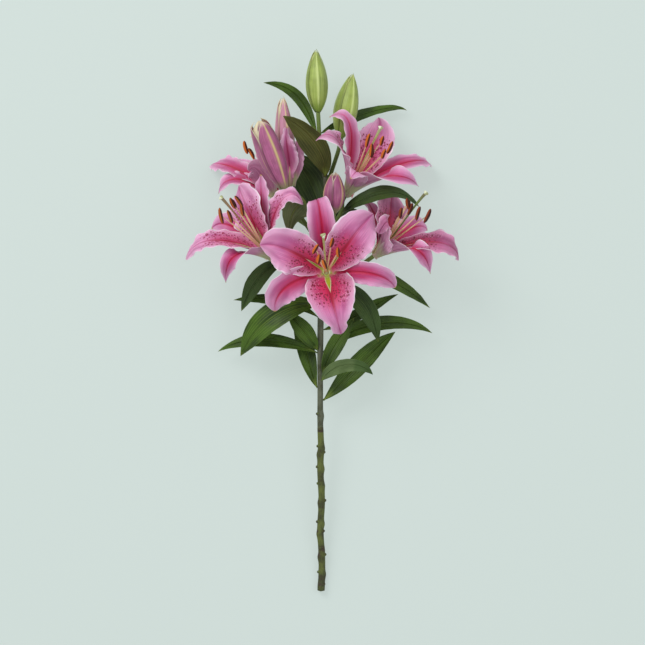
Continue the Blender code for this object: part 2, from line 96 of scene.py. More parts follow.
def bezier(points: Sequence[Sequence[float]], count: int = ROWS) -> np.ndarray:
    """Points along a cubic curve, evenly spaced by length.

    Args:
        points: its start, the two points that pull it, and its end.
        count: how many points to return.

    Returns:
        The points as rows.
    """
    p = np.asarray(points, float)
    t = np.linspace(0.0, 1.0, 4 * count)[:, None]
    return even((1 - t) ** 3 * p[0] + 3 * (1 - t) ** 2 * t * p[1]
                + 3 * (1 - t) * t ** 2 * p[2] + t ** 3 * p[3], count)


def smooth_path(points: Sequence[Sequence[float]], count: int = ROWS) -> np.ndarray:
    """A smooth line through points, evenly spaced by length.

    Args:
        points: rows of x, y, z and any further values such as a radius.
        count: how many rows to return.

    Returns:
        The rows.
    """
    p = np.asarray(points, float)
    p = np.vstack([2 * p[0] - p[1], p, 2 * p[-1] - p[-2]])
    fine = []
    for a, b, c, d in zip(p, p[1:], p[2:], p[3:]):
        for t in np.linspace(0, 1, 24, endpoint=False):
            fine.append(0.5 * (2 * b + (c - a) * t + (2 * a - 5 * b + 4 * c - d) * t * t
                               + (3 * b - a - 3 * c + d) * t ** 3))
    fine.append(p[-2])
    return even(np.array(fine), count)


def frames(line: np.ndarray, normal: Sequence[float]) -> tuple[np.ndarray, np.ndarray]:
    """Tangents and normals that turn with a line and don't spin round it.

    Args:
        line: points as rows.
        normal: the way that the first normal looks, as nearly as it can.

    Returns:
        The tangents and the normals, a row for each point.
    """
    tangents = np.gradient(line, axis=0)
    tangents /= np.linalg.norm(tangents, axis=1)[:, None]
    n = np.asarray(normal, float)
    normals = []
    for t in tangents:
        n = unit(n - t * n.dot(t))
        normals.append(n)
    return tangents, np.array(normals)


def at(values: np.ndarray, u: np.ndarray) -> np.ndarray:
    """Rows of an evenly spaced table, read between its rows.

    Args:
        values: the table.
        u: fractions of its length.

    Returns:
        A row for each fraction.
    """
    x = np.asarray(u, float) * (len(values) - 1)
    i = np.clip(x.astype(int), 0, len(values) - 2)
    f = (x - i)[..., None]
    return values[i] * (1 - f) + values[i + 1] * f


def length_of(line: np.ndarray) -> float:
    """Length of a line of points."""
    return float(np.linalg.norm(np.diff(line, axis=0), axis=1).sum())


def bump(x: np.ndarray, centre: float, width: float) -> np.ndarray:
    """A soft hump of height one."""
    return np.exp(-((x - centre) / width) ** 2)


# ---------------------------------------------------------------- shader maths

Value = Union["Wire", float]


class Wire:
    """A socket's output that takes part in Python arithmetic."""

    def __init__(self, board: "Board", socket: bpy.types.NodeSocket) -> None:
        """Remember the board that the socket is on."""
        self.board = board
        self.socket = socket

    def math(self, operation: str, *others: Value) -> "Wire":
        """A Math node of self and the others."""
        return self.board.math(operation, self, *others)

    def __add__(self, other: Value) -> "Wire":
        """self + other"""
        return self.math("ADD", other)

    __radd__ = __add__

    def __mul__(self, other: Value) -> "Wire":
        """self * other"""
        return self.math("MULTIPLY", other)

    __rmul__ = __mul__

    def __sub__(self, other: Value) -> "Wire":
        """self - other"""
        return self.math("SUBTRACT", other)

    def __rsub__(self, other: Value) -> "Wire":
        """other - self"""
        return self.board.math("SUBTRACT", other, self)

    def __truediv__(self, other: Value) -> "Wire":
        """self / other"""
        return self.math("DIVIDE", other)

    def __abs__(self) -> "Wire":
        """The size of self without its sign."""
        return self.math("ABSOLUTE")

    def hump(self, centre: float, width: float) -> "Wire":
        """A soft hump of height one round centre."""
        share = (self - centre) / width
        return (share * share * -1.0).math("EXPONENT")

    def ramp(self, low: float, high: float) -> "Wire":
        """A smooth step, up or down.

        Args:
            low: where it is zero.
            high: where it is one, above or below low.

        Returns:
            The step's height.
        """
        turned = low > high
        if turned:
            low, high = high, low
        made = self.board.node("ShaderNodeMapRange", {"interpolation_type": "SMOOTHSTEP"},
                               {"Value": self, "From Min": low, "From Max": high})
        wire = Wire(self.board, made.outputs["Result"])
        return 1.0 - wire if turned else wire


class Board:
    """The node tree of one material."""

    def __init__(self, name: str) -> None:
        """Start a material with one Principled shader.

        Args:
            name: the material's name.
        """
        self.material = bpy.data.materials.new(name)
        self.material.use_nodes = True
        self.tree = self.material.node_tree
        self.shader = self.tree.nodes["Principled BSDF"]

    def node(self, kind: str, settings: Optional[dict] = None,
             inputs: Optional[dict] = None) -> bpy.types.Node:
        """Add any node.

        Args:
            kind: the node's type name.
            settings: its own properties, set first.
            inputs: values, wires or colours by socket name or number.

        Returns:
            The node.
        """
        made = self.tree.nodes.new(kind)
        for key, value in (settings or {}).items():
            setattr(made, key, value)
        for key, value in (inputs or {}).items():
            if isinstance(value, Wire):
                self.tree.links.new(value.socket, made.inputs[key])
            elif isinstance(value, tuple) and made.inputs[key].type == "RGBA":
                made.inputs[key].default_value = (*value, 1.0)
            else:
                made.inputs[key].default_value = value
        return made

    def math(self, operation: str, *values: Value) -> Wire:
        """A Math node of wires and numbers."""
        made = self.node("ShaderNodeMath", {"operation": operation}, dict(enumerate(values)))
        return Wire(self, made.outputs[0])

    def mix(self, low: Union[Wire, Colour], high: Union[Wire, Colour], share: Value) -> Wire:
        """A colour between two others.

        Args:
            low: the colour at a share of zero.
            high: the colour at a share of one.
            share: how far it is from low to high.

        Returns:
            The colour.
        """
        made = self.node("ShaderNodeMix", {"data_type": "RGBA", "clamp_factor": True},
                         {0: share, 6: low, 7: high})
        return Wire(self, made.outputs[2])

    def parts(self, attribute: str) -> tuple[Wire, Wire, Wire]:
        """The three numbers of a vector attribute of the mesh.

        Args:
            attribute: its name.

        Returns:
            The three numbers.
        """
        read = self.node("ShaderNodeAttribute", {"attribute_name": attribute})
        split = self.node("ShaderNodeSeparateXYZ", {}, {0: Wire(self, read.outputs["Vector"])})
        return tuple(Wire(self, out) for out in split.outputs)

    def vector(self, x: Value, y: Value, z: Value) -> Wire:
        """A vector of three numbers."""
        return Wire(self, self.node("ShaderNodeCombineXYZ", {}, {0: x, 1: y, 2: z}).outputs[0])

    def place(self) -> Wire:
        """The place on the object, in metres."""
        return Wire(self, self.node("ShaderNodeTexCoord").outputs["Object"])

    def noise(self, where: Wire, scale: float, detail: float = 2.0) -> Wire:
        """Soft noise.

        Args:
            where: the place.
            scale: how fine it is.
            detail: how much finer noise is laid over it.

        Returns:
            The noise, from zero to one.
        """
        made = self.node("ShaderNodeTexNoise", {}, {"Vector": where, "Scale": scale,
                                                    "Detail": detail})
        return Wire(self, made.outputs[0])

    def cells(self, where: Wire, scale: float) -> tuple[Wire, Wire]:
        """Points scattered through space.

        Args:
            where: the place.
            scale: how many there are to a unit of length.

        Returns:
            Distance to the nearest one, and a number that is its own.
        """
        made = self.node("ShaderNodeTexVoronoi", {}, {"Vector": where, "Scale": scale,
                                                      "Randomness": 1.0})
        split = self.node("ShaderNodeSeparateXYZ", {}, {0: Wire(self, made.outputs["Color"])})
        return Wire(self, made.outputs["Distance"]), Wire(self, split.outputs[0])

    def finish(self, colour: Union[Wire, Colour], roughness: Value, height: Optional[Wire] = None,
               depth: float = 0.0002, **others: Union[Value, Colour]) -> bpy.types.Material:
        """Join the results to the shader.

        Args:
            colour: the surface's colour.
            roughness: its roughness.
            height: relief from zero to one.
            depth: how deep that relief is, in metres.
            **others: further sockets of the shader, with spaces as underlines.

        Returns:
            The finished material.
        """
        for name, value in {"Base Color": colour, "Roughness": roughness, **others}.items():
            socket = self.shader.inputs[name.replace("_", " ")]
            if isinstance(value, Wire):
                self.tree.links.new(value.socket, socket)
            elif isinstance(value, tuple) and len(socket.default_value) == 4:
                socket.default_value = (*value, 1.0)
            else:
                socket.default_value = value
        if height is not None:
            relief = self.node("ShaderNodeBump", {}, {"Height": height, "Distance": depth,
                                                      "Strength": 1.0})
            self.tree.links.new(relief.outputs[0], self.shader.inputs["Normal"])
        return self.material


# ---------------------------------------------------------------- finishes

def tint(red: int, green: int, blue: int) -> Colour:
    """A display colour, 0 to 255 a channel, as linear light."""
    shares = (channel / 255.0 for channel in (red, green, blue))
    return tuple(c / 12.92 if c <= 0.04045 else ((c + 0.055) / 1.055) ** 2.4 for c in shares)


@dataclass(frozen=True)
class BladePlace:
    """Where a point lies on a blade, and the veins there."""

    board: Board
    across: Wire
    along: Wire
    seed: Wire
    side: Wire
    run: Wire

    @classmethod
    def read(cls, board: Board) -> "BladePlace":
        """Read the marks that every blade carries.

        Args:
            board: the material's node tree.

        Returns:
            Where a point lies.
        """
        across, along, seed = board.parts("share")
        side, run, _ = board.parts("skin")
        return cls(board, across, along, seed, side, run)

    def streaks(self, fineness: Value, stretch: float, shift: float = 0.0,
                detail: float = 2.0) -> Wire:
        """Noise drawn out along the blade.

        Args:
            fineness: how many streaks there are across it.
            stretch: how many there are along it.
            shift: a number that makes the pattern another one.
            detail: how much finer noise is laid over it.

        Returns:
            The noise, from zero to one.
        """
        seed = self.seed + shift if shift else self.seed
        where = self.board.vector(self.across * fineness, self.along * stretch, seed)
        return self.board.noise(where, 1.0, detail)

    def cells(self, turn: float, scale: float) -> tuple[Wire, Wire]:
        """Points scattered over the blade, a little longer than wide."""
        where = self.board.vector(self.side, self.run * 0.85, self.seed * turn)
        return self.board.cells(where, scale)


@dataclass(frozen=True)
class TepalFinish:
    """Inner face of a petal or sepal: pink with a crimson midrib and pale edges."""

    name: str
    body: Colour = tint(222, 132, 184)
    shade: Colour = tint(180, 82, 140)
    margin: Colour = tint(242, 190, 222)
    edge: Colour = tint(255, 242, 250)
    flush: Colour = tint(196, 44, 104)
    bright: Colour = tint(222, 16, 72)
    streak: Colour = tint(166, 0, 52)
    spot: Colour = tint(134, 4, 44)
    furrow: Colour = tint(244, 176, 208)
    throat: Colour = tint(232, 238, 196)
    nectary: Colour = tint(158, 180, 34)
    tip: Colour = tint(196, 158, 84)
    spotted: bool = True
    spread: float = 0.0

    def make(self) -> bpy.types.Material:
        """Paint from the shares across and along the blade, and spots in millimetres; add a painted
        glow at its foot.

        Returns:
            The material.
        """
        board = Board(self.name)
        place = BladePlace.read(board)
        along, away = place.along, abs(place.across)
        veins = place.streaks(26.0 * (1.2 - along * 0.5), 2.4, detail=3.0)
        lines = veins.ramp(0.40, 0.64)
        colour = self.flushed(place, self.ground(place, lines), veins, lines)
        height = veins * 0.6 + away.hump(0.0, 0.05) * -0.4
        if self.spotted:
            zone = (along.ramp(0.12, 0.2) * (along - self.spread).ramp(0.76, 0.52)
                    * away.ramp(0.98, 0.75))
            fine, _ = place.cells(17.0, 0.42)
            pale = (0.40 - fine).ramp(0.0, 0.2) * away.ramp(0.25, 0.55) * zone
            colour = self.streaked(place, board.mix(colour, self.furrow, pale * 0.45), veins, lines)
            colour, dot = self.dotted(place, colour, zone)
            wedge = (0.40 - along) * 0.72
            colour = board.mix(colour, self.throat, (wedge + 0.04 - away).ramp(0.0, 0.05) * 0.8)
            green = board.mix(self.nectary, self.throat, away.ramp(0.06, 0.16) * 0.35)
            colour = board.mix(colour, green, (wedge - away).ramp(0.0, 0.03))
            # where the painted glow takes the nectary's green, along the wedge near the throat
            nectary_glow_share = (wedge - away).ramp(0.0, 0.03) * along.ramp(0.35, 0.1)
            height = height + dot * 1.6 + (wedge - away).ramp(0.0, 0.05) * 1.5
        else:
            colour = self.streaked(place, colour, veins, lines)
            colour = board.mix(colour, self.tip, along.ramp(0.965, 0.995))
            # the foot takes the nectary colour in the painted glow
            nectary_glow_share = along.ramp(0.2, 0.1)
        colour = board.mix(colour, self.throat, along.ramp(0.15, 0.06) * 0.7)
        # painted light: the blade's foot and nectary glow faintly, lightening the dark throat
        painted_glow = board.mix((0.0, 0.0, 0.0), self.flush, along.ramp(0.3, 0.1))
        painted_glow = board.mix(painted_glow, self.nectary, nectary_glow_share)
        return board.finish(colour, 0.40 + veins * 0.25, height, 0.0006,
                            Emission_Color=painted_glow, Emission_Strength=0.25, Subsurface_Weight=0.1,
                            Subsurface_Radius=(0.004, 0.0015, 0.002), Subsurface_Scale=1.0,
                            Sheen_Weight=0.12, Sheen_Roughness=0.5, Specular_IOR_Level=0.4)

    def ground(self, place: BladePlace, lines: Wire) -> Wire:
        """Body colour with paler margins and tip.

        Args:
            place: where a point lies.
            lines: the veins as pale lines.

        Returns:
            The colour.
        """
        board, along, away = place.board, place.along, abs(place.across)
        patch = place.streaks(1.3, 2.6)
        colour = board.mix(self.body, self.shade, patch.ramp(0.42, 0.62) * away.ramp(1.0, 0.5))
        colour = board.mix(colour, self.margin, away.ramp(0.42, 0.9) * (0.45 + patch * 0.6)
                           * (0.65 + lines * 0.45))
        return board.mix(colour, self.margin, along.ramp(0.6, 1.0) * (0.35 + lines * 0.5)
                         * away.ramp(0.0, 0.3))

    def flushed(self, place: BladePlace, colour: Wire, veins: Wire, lines: Wire) -> Wire:
        """The flush that spreads from the midrib, brightest at its heart.

        Args:
            place: where a point lies.
            colour: what it is laid over.
            veins: the veins as noise.
            lines: the veins as lines.

        Returns:
            The colour.
        """
        board, along, away = place.board, place.along, abs(place.across)
        wide = 0.86 if self.spotted else 0.62
        flush = (away + (veins - 0.5) * 0.45).hump(0.0, wide) * along.ramp(0.02, 0.2)
        flush = flush * (along.ramp(0.80, 0.36) if self.spotted else along.ramp(1.05, 0.35))
        colour = board.mix(colour, self.flush, (flush * (1.0 + lines * 0.3)).ramp(0.0, 1.0) * 0.9)
        heart = (away + (veins - 0.5) * 0.3).hump(0.0, 0.42) * along.ramp(0.1, 0.34)
        colour = board.mix(colour, self.bright, heart * along.ramp(0.74, 0.42) * 0.95)
        return board.mix(colour, self.shade,
                         lines * away.ramp(1.0, 0.5) * along.ramp(0.2, 0.5) * 0.5)

    def streaked(self, place: BladePlace, colour: Wire, veins: Wire, lines: Wire) -> Wire:
        """The crimson midrib with its twin line, and the pale edge.

        Args:
            place: where a point lies.
            colour: what they are laid over.
            veins: the veins as noise.
            lines: the veins as lines.

        Returns:
            The colour.
        """
        board, along, away = place.board, place.along, abs(place.across)
        near = away + (veins - 0.5) * 0.1
        streak = near.hump(0.0, 0.07) + near.hump(0.0, 0.2) * 0.5
        reach = along.ramp(0.80, 0.4) if self.spotted else along.ramp(1.0, 0.55)
        colour = board.mix(colour, self.streak, streak * reach * along.ramp(0.1, 0.25))
        twin = (away - 0.035).hump(0.0, 0.02) * along.ramp(0.96, 0.8) * 0.5
        colour = board.mix(colour, self.streak, twin)
        return board.mix(colour, self.edge, (away + (lines - 0.5) * 0.05).ramp(0.92, 1.0) * 0.75)

    def dotted(self, place: BladePlace, colour: Wire, zone: Wire) -> tuple[Wire, Wire]:
        """Raised spots and smaller specks between them.

        Args:
            place: where a point lies.
            colour: what they are laid over.
            zone: one where spots grow, zero elsewhere.

        Returns:
            The colour, and one where a spot stands.
        """
        board, away = place.board, abs(place.across)
        clear = away.ramp(0.05, 0.14)
        bare = (1.0 - zone) * 0.5
        near, chance = place.cells(31.0, 0.30)
        dot = (0.27 + self.spread * 0.4 + chance * 0.16 - bare - near).ramp(0.0, 0.07) * clear
        small, luck = place.cells(11.0, 0.5)
        speck = (0.15 + luck * 0.22 - bare - small).ramp(0.0, 0.08)
        colour = board.mix(colour, self.spot, dot * 0.92)
        return board.mix(colour, self.spot, speck * clear * 0.8), dot


@dataclass(frozen=True)
class TepalBackFinish:
    """Outer face of a tepal: mauve with a pale green foot and keel."""

    name: str
    body: Colour = tint(216, 144, 184)
    margin: Colour = tint(240, 194, 220)
    keel: Colour = tint(166, 88, 130)
    foot: Colour = tint(196, 206, 150)

    def make(self) -> bpy.types.Material:
        """Paint from the shares across and along the blade.

        Returns:
            The material.
        """
        board = Board(self.name)
        place = BladePlace.read(board)
        along, away = place.along, abs(place.across)
        veins = place.streaks(22.0, 2.0, 7.0, 3.0)
        patch = place.streaks(1.5, 3.0, 3.0)
        colour = board.mix(self.body, self.margin, away.ramp(0.35, 1.0) * 0.8)
        colour = board.mix(colour, self.keel, patch.ramp(0.4, 0.7) * 0.35)
        colour = board.mix(colour, self.keel, veins.ramp(0.42, 0.72) * 0.55)
        colour = board.mix(colour, self.keel, away.hump(0.0, 0.06) * 0.6)
        colour = board.mix(colour, self.foot, (along + (veins - 0.5) * 0.15).ramp(0.34, 0.14)
                           * (0.55 + away.hump(0.0, 0.6) * 0.4))
        return board.finish(colour, 0.45 + veins * 0.2, veins, 0.00035,
                            Subsurface_Weight=0.08, Subsurface_Radius=(0.004, 0.0015, 0.002),
                            Subsurface_Scale=1.0, Sheen_Weight=0.1, Specular_IOR_Level=0.35)


@dataclass(frozen=True)
class LeafFinish:
    """Leaf skin with lengthwise veins and a sunken midrib."""

    name: str
    body: Colour = tint(68, 98, 20)
    shade: Colour = tint(32, 54, 10)
    vein: Colour = tint(122, 148, 60)
    rib: Colour = tint(112, 138, 50)
    tip: Colour = tint(112, 124, 40)
    foot: Colour = tint(134, 152, 62)
    turns: float = 0.93
    roughness: float = 0.42

    def make(self) -> bpy.types.Material:
        """Paint from the shares across and along the blade.

        Returns:
            The material.
        """
        board = Board(self.name)
        place = BladePlace.read(board)
        along, away = place.along, abs(place.across)
        where = board.vector(place.side * 0.06, place.run * 0.025, place.seed)
        patch = board.noise(where, 1.0, 3.0)
        colour = board.mix(self.shade, self.body, patch.ramp(0.32, 0.66))
        lines = (place.across * 34.0).math("SINE") * 0.5 + 0.5
        fine = place.streaks(30.0, 1.5)
        stripe = lines.ramp(0.78, 1.0) * 0.6 + fine.ramp(0.5, 0.75) * 0.5
        colour = board.mix(colour, self.vein, stripe * 0.5 * away.ramp(1.0, 0.8))
        colour = board.mix(colour, self.shade, away.hump(0.0, 0.1) * 0.5)
        colour = board.mix(colour, self.rib, away.hump(0.0, 0.035) * along.ramp(1.0, 0.75) * 0.6)
        colour = board.mix(colour, self.vein, away.ramp(0.93, 1.0) * 0.4)
        colour = board.mix(colour, self.tip, along.ramp(self.turns, self.turns + 0.07) * 0.7)
        colour = board.mix(colour, self.foot, along.ramp(0.16, 0.02) * away.ramp(1.0, 0.0) * 0.8)
        height = lines * 0.5 + fine * 0.3 + away.hump(0.0, 0.05) * -0.8
        return board.finish(colour, self.roughness + fine * 0.18, height, 0.0003,
                            Specular_IOR_Level=0.3)


@dataclass(frozen=True)
class StalkFinish:
    """Stem or stalk skin with lengthwise fibres, greyer higher up, brown at its scars."""

    name: str
    body: Colour = tint(98, 106, 44)
    dark: Colour = tint(52, 56, 24)
    upper: Colour = tint(98, 102, 82)
    scar: Colour = tint(60, 46, 30)
    top: Colour = tint(124, 150, 72)
    blotch: float = 0.85
    # strength of a painted glow that lightens the skin where it lies in shade
    painted_glow: float = 0.0

    def make(self) -> bpy.types.Material:
        """Paint from the share along the stem and the brown marks.

        Returns:
            The material.
        """
        board = Board(self.name)
        turn, run, _ = board.parts("share")
        scar, grey, along = board.parts("marks")
        where = board.place()
        patch = board.noise(where, 55.0, 4.0)
        fibre = board.noise(board.vector(turn * 9.0, run * 90.0, 1.0), 1.0, 3.0)
        speck = board.noise(where, 420.0, 3.0)
        colour = board.mix(self.body, self.upper, grey)
        colour = board.mix(colour, self.dark, patch.ramp(0.4, 0.68) * self.blotch)
        colour = board.mix(colour, self.dark, fibre.ramp(0.45, 0.7) * 0.65)
        colour = board.mix(colour, self.scar, (patch * 0.6 + speck * 0.6).ramp(0.64, 0.8)
                           * self.blotch)
        colour = board.mix(colour, self.scar, (scar + (speck - 0.5) * 0.5).ramp(0.25, 0.75))
        colour = board.mix(colour, self.top, along.ramp(0.87, 0.93) * 0.75)
        # the skin glows in its own colour: painted light
        return board.finish(colour, 0.55 + speck * 0.2, fibre * 0.6 + speck * 0.6, 0.0004,
                            Emission_Color=self.body, Emission_Strength=self.painted_glow)


@dataclass(frozen=True)
class BudFinish:
    """Skin of a bud: ribs, painted shade in the grooves between its closed tepals, a foot and a
    tip.
    """

    name: str
    body: Colour = tint(164, 182, 86)
    # colour of the painted shade in the grooves and down one side, also of darker patches and veins
    groove: Colour = tint(100, 114, 44)
    rib: Colour = tint(206, 220, 138)
    foot: Colour = tint(128, 158, 56)
    tip: Colour = tint(190, 196, 120)
    # how much darker one side of each tepal is: painted shade
    painted_side_shade: float = 0.3

    def make(self) -> bpy.types.Material:
        """Paint from the rib, the groove and the share along the bud.

        Returns:
            The material.
        """
        board = Board(self.name)
        rib, groove, along = board.parts("marks")
        across, _, seed = board.parts("share")
        where = board.place()
        veins = board.noise(board.vector(across * 13.0, along * 1.4, seed), 1.0, 3.0)
        patch = board.noise(where, 60.0, 3.0)
        colour = board.mix(self.body, self.groove, patch.ramp(0.35, 0.75) * 0.4)
        # painted shade: one side of each tepal is darkened towards the groove colour
        colour = board.mix(colour, self.groove, across.ramp(0.1, 0.9) * self.painted_side_shade)
        colour = board.mix(colour, self.groove, veins.ramp(0.48, 0.68) * 0.5)
        colour = board.mix(colour, self.rib, veins.ramp(0.44, 0.26) * 0.35)
        # painted shade in the seams at the tepals' edges and on the core between them
        colour = board.mix(colour, self.groove, groove * 0.85)
        colour = board.mix(colour, self.rib, rib)
        seam = abs(across).ramp(0.8, 0.97) * along.ramp(0.6, 0.88)
        colour = board.mix(colour, self.tip, seam * 0.8)
        colour = board.mix(colour, self.foot, along.ramp(0.22, 0.02) * 0.85)
        colour = board.mix(colour, self.tip, along.ramp(0.90, 1.0) * 0.75)
        return board.finish(colour, 0.42 + veins * 0.12, veins, 0.0002,
                            Subsurface_Weight=0.08, Subsurface_Radius=(0.003, 0.003, 0.001),
                            Subsurface_Scale=1.0, Sheen_Weight=0.1)


@dataclass(frozen=True)
class ThreadFinish:
    """Filament or style: a smooth thread that changes colour along its length."""

    name: str
    foot: Colour = tint(196, 200, 122)
    top: Colour = tint(238, 204, 164)
    knob: Colour = tint(232, 184, 156)

    def make(self) -> bpy.types.Material:
        """Paint from the share along the thread.

        Returns:
            The material.
        """
        board = Board(self.name)
        _, along, _ = board.parts("share")
        colour = board.mix(self.foot, self.top, along.ramp(0.05, 0.4))
        colour = board.mix(colour, self.knob, along.ramp(0.8, 1.0))
        return board.finish(colour, 0.4, Subsurface_Weight=0.1,
                            Subsurface_Radius=(0.002, 0.001, 0.001), Subsurface_Scale=1.0)


@dataclass(frozen=True)
class PollenFinish:
    """Powdery anther or sticky stigma, with painted light on its upper lobe and painted shade
    below.
    """

    name: str
    body: Colour = tint(208, 106, 28)
    dark: Colour = tint(84, 26, 12)
    rough: float = 0.85

    def make(self) -> bpy.types.Material:
        """Grains in the colour and in the relief, and painted shade round one side.

        Returns:
            The material.
        """
        board = Board(self.name)
        turn, _, seed = board.parts("share")
        where = board.place()
        grain = board.noise(where, 2600.0, 2.0)
        patch = board.noise(board.vector(turn * 0.8, seed * 3.7, 0.0), 1.0, 2.0)
        # painted shade: one side round the sac turns dark, leaving the other side bright as painted
        # light
        painted_dark_side = (turn + 0.62 + patch * 0.8).ramp(0.5, 1.05)
        colour = board.mix(self.body, self.dark, (grain * 0.5 + painted_dark_side * 0.85).ramp(0.25, 0.85))
        return board.finish(colour, self.rough, grain, 0.0003)


# ---------------------------------------------------------------- mesh makers

def deselect() -> None:
    """Leave nothing selected."""
    for made in bpy.context.selected_objects:
        made.select_set(False)


def to_metres(points: np.ndarray) -> np.ndarray:
    """Millimetres from the cut end as metres from the part's origin."""
    return (points + ORIGIN) * MM


def read_points(made: bpy.types.Object) -> np.ndarray:
    """Read where the mesh's points are.

    Args:
        made: the mesh's object.

    Returns:
        The points as rows.
    """
    points = np.empty(len(made.data.vertices) * 3)
    made.data.vertices.foreach_get("co", points)
    return points.reshape(-1, 3)


def write_points(made: bpy.types.Object, points: np.ndarray) -> None:
    """Move the mesh's points to rows of millimetres."""
    made.data.vertices.foreach_set("co", to_metres(points).ravel())
    made.data.update()


def mark(made: bpy.types.Object, name: str, *values: Union[np.ndarray, float]) -> None:
    """Store three numbers a point, for materials to read.

    Args:
        made: the object.
        name: the attribute's name.
        *values: three numbers, or rows of them.
    """
    rows = np.empty((len(made.data.vertices), 3), np.float32)
    for column, value in enumerate(values):
        rows[:, column] = value
    made.data.attributes.new(name, "FLOAT_VECTOR", "POINT").data.foreach_set("vector", rows.ravel())


def blade(surface: Surface, width: float, length: float, seed: float, rows: int, columns: int,
          thickness: float, materials: Sequence[bpy.types.Material],
          marks: Optional[Marks] = None) -> bpy.types.Object:
    """A thin blade with thinner edges, from a grid laid on a surface.

    Args:
        surface: gives points for shares along and across.
        width: greatest width in millimetres, for the spots' scale.
        length: length in millimetres, for the spots' scale.
        seed: number that makes its pattern its own.
        rows: steps along.
        columns: steps across.
        thickness: thickness at the midrib in millimetres.
        materials: inner face, then outer face.
        marks: three numbers a point for shares across and along.

    Returns:
        The blade's object.
    """
    bpy.ops.mesh.primitive_grid_add(x_subdivisions=columns, y_subdivisions=rows, size=2)
    made = bpy.context.object
    flat = read_points(made)
    u, v = np.clip((flat[:, 1] + 1) / 2, 0, 1), flat[:, 0]
    u = 1 - (1 - u) ** TIP_CROWDING
    write_points(made, surface(u, v))
    mark(made, "share", v, u, seed)
    narrowing = np.sqrt(np.clip(4 * u * (1 - u), 0.05, 1))
    mark(made, "skin", v * width / 2 * narrowing, u * length, seed)
    mark(made, "marks", *(marks(v, u) if marks else (0.0, 0.0, u)))
    flesh = made.vertex_groups.new(name="flesh")
    weight = (1 - np.abs(v) ** 3) * np.clip((1 - u) / 0.06, 0.1, 1)
    weight = np.round(FLESH_STEPS * weight) / FLESH_STEPS
    for level in np.unique(weight):
        flesh.add(np.flatnonzero(weight == level).tolist(), float(level), "REPLACE")
    for material in materials:
        made.data.materials.append(material)
    wall = made.modifiers.new("wall", "SOLIDIFY")
    wall.thickness = thickness * MM
    wall.offset = 0.0
    wall.vertex_group = flesh.name
    wall.thickness_vertex_group = THIN_EDGE
    wall.material_offset = len(materials) - 1
    wall.material_offset_rim = 0
    bpy.ops.object.modifier_apply(modifier=wall.name)
    made.vertex_groups.clear()
    return made


def round_about(line: np.ndarray, tangents: np.ndarray, normals: np.ndarray, share: np.ndarray,
                angle: np.ndarray, reach: np.ndarray) -> np.ndarray:
    """Points round a line.

    Args:
        line: middle line in millimetres.
        tangents: the way it runs at each point.
        normals: the way that angle zero looks at each point.
        share: shares along it.
        angle: turns round it.
        reach: distances from it in millimetres.

    Returns:
        The points.
    """
    t, n = at(tangents, share), at(normals, share)
    out = n * np.cos(angle)[..., None] + np.cross(t, n) * np.sin(angle)[..., None]
    return at(line, share) + out * reach[..., None]


def swept(line: np.ndarray, radii: Union[float, Sequence[float], np.ndarray], segments: int,
          rings: int, material: bpy.types.Material, seed: float = 0.0,
          shape: Optional[Surface] = None, marks: Optional[Marks] = None,
          blunt: float = 0.5) -> bpy.types.Object:
    """A closed round form swept along a line, from a ball with a pole at each end.

    Args:
        line: middle line in millimetres.
        radii: one radius, or evenly spaced ones.
        segments: steps round.
        rings: steps along.
        material: its finish.
        seed: number that makes its pattern its own.
        shape: factor on the radius for angles and shares.
        marks: three numbers a point for angles and shares.
        blunt: how quickly the ends close, 0 for flat ends, 0.5 for round ones.

    Returns:
        The object.
    """
    bpy.ops.mesh.primitive_uv_sphere_add(segments=segments, ring_count=rings, radius=1.0,
                                         calc_uvs=False)
    made = bpy.context.object
    ball = read_points(made)
    angle = np.arctan2(ball[:, 1], ball[:, 0])
    share = 1 - np.arccos(np.clip(ball[:, 2], -1, 1)) / math.pi
    tangents, normals = frames(line, START)
    radii = np.atleast_1d(np.asarray(radii, float))
    radius = np.interp(share, np.linspace(0, 1, len(radii)), radii)
    pole = np.minimum(share, 1 - share)
    radius = radius * np.where(pole < 0.5 / rings, 0.0, 1.0)
    if blunt > 0:
        reach = np.clip(pole * length_of(line) / (radii.max() * blunt * 2), 0, 1)
        radius = radius * np.sqrt(np.clip(1 - (1 - reach) ** 2, 0, 1))
    if shape is not None:
        radius = radius * shape(angle, share)
    write_points(made, round_about(line, tangents, normals, share, angle, radius))
    mark(made, "share", angle, share, seed)
    mark(made, "marks", *(marks(angle, share) if marks else (0.0, 0.0, share)))
    made.data.materials.append(material)
    outward(made)
    return made


def outward(made: bpy.types.Object) -> None:
    """Turn all the faces of a closed form outward.

    Args:
        made: the form's object.
    """
    bpy.context.view_layer.objects.active = made
    bpy.ops.object.mode_set(mode="EDIT")
    bpy.ops.mesh.select_all(action="SELECT")
    bpy.ops.mesh.normals_make_consistent(inside=False)
    bpy.ops.object.mode_set(mode="OBJECT")


def gather(name: str, pieces: Sequence[bpy.types.Object], node: str) -> bpy.types.Object:
    """Join pieces, shade them smooth and put them in the place of a solid.

    Args:
        name: the joined object's name.
        pieces: the objects to join.
        node: the solid that it stands for.

    Returns:
        The joined object.
    """
    deselect()
    for piece in pieces:
        piece.select_set(True)
    bpy.context.view_layer.objects.active = pieces[0]
    if len(pieces) > 1:
        bpy.ops.object.join()
    made = bpy.context.view_layer.objects.active
    made.name = made.data.name = name
    bpy.ops.object.transform_apply(location=True, rotation=True, scale=True)
    bpy.ops.object.shade_smooth()
    deselect()
    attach(made, "root")
    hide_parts(node)
    LOG.info("%s: %d faces for %s", name, len(made.data.polygons), node)
    return made


# ---------------------------------------------------------------- forms

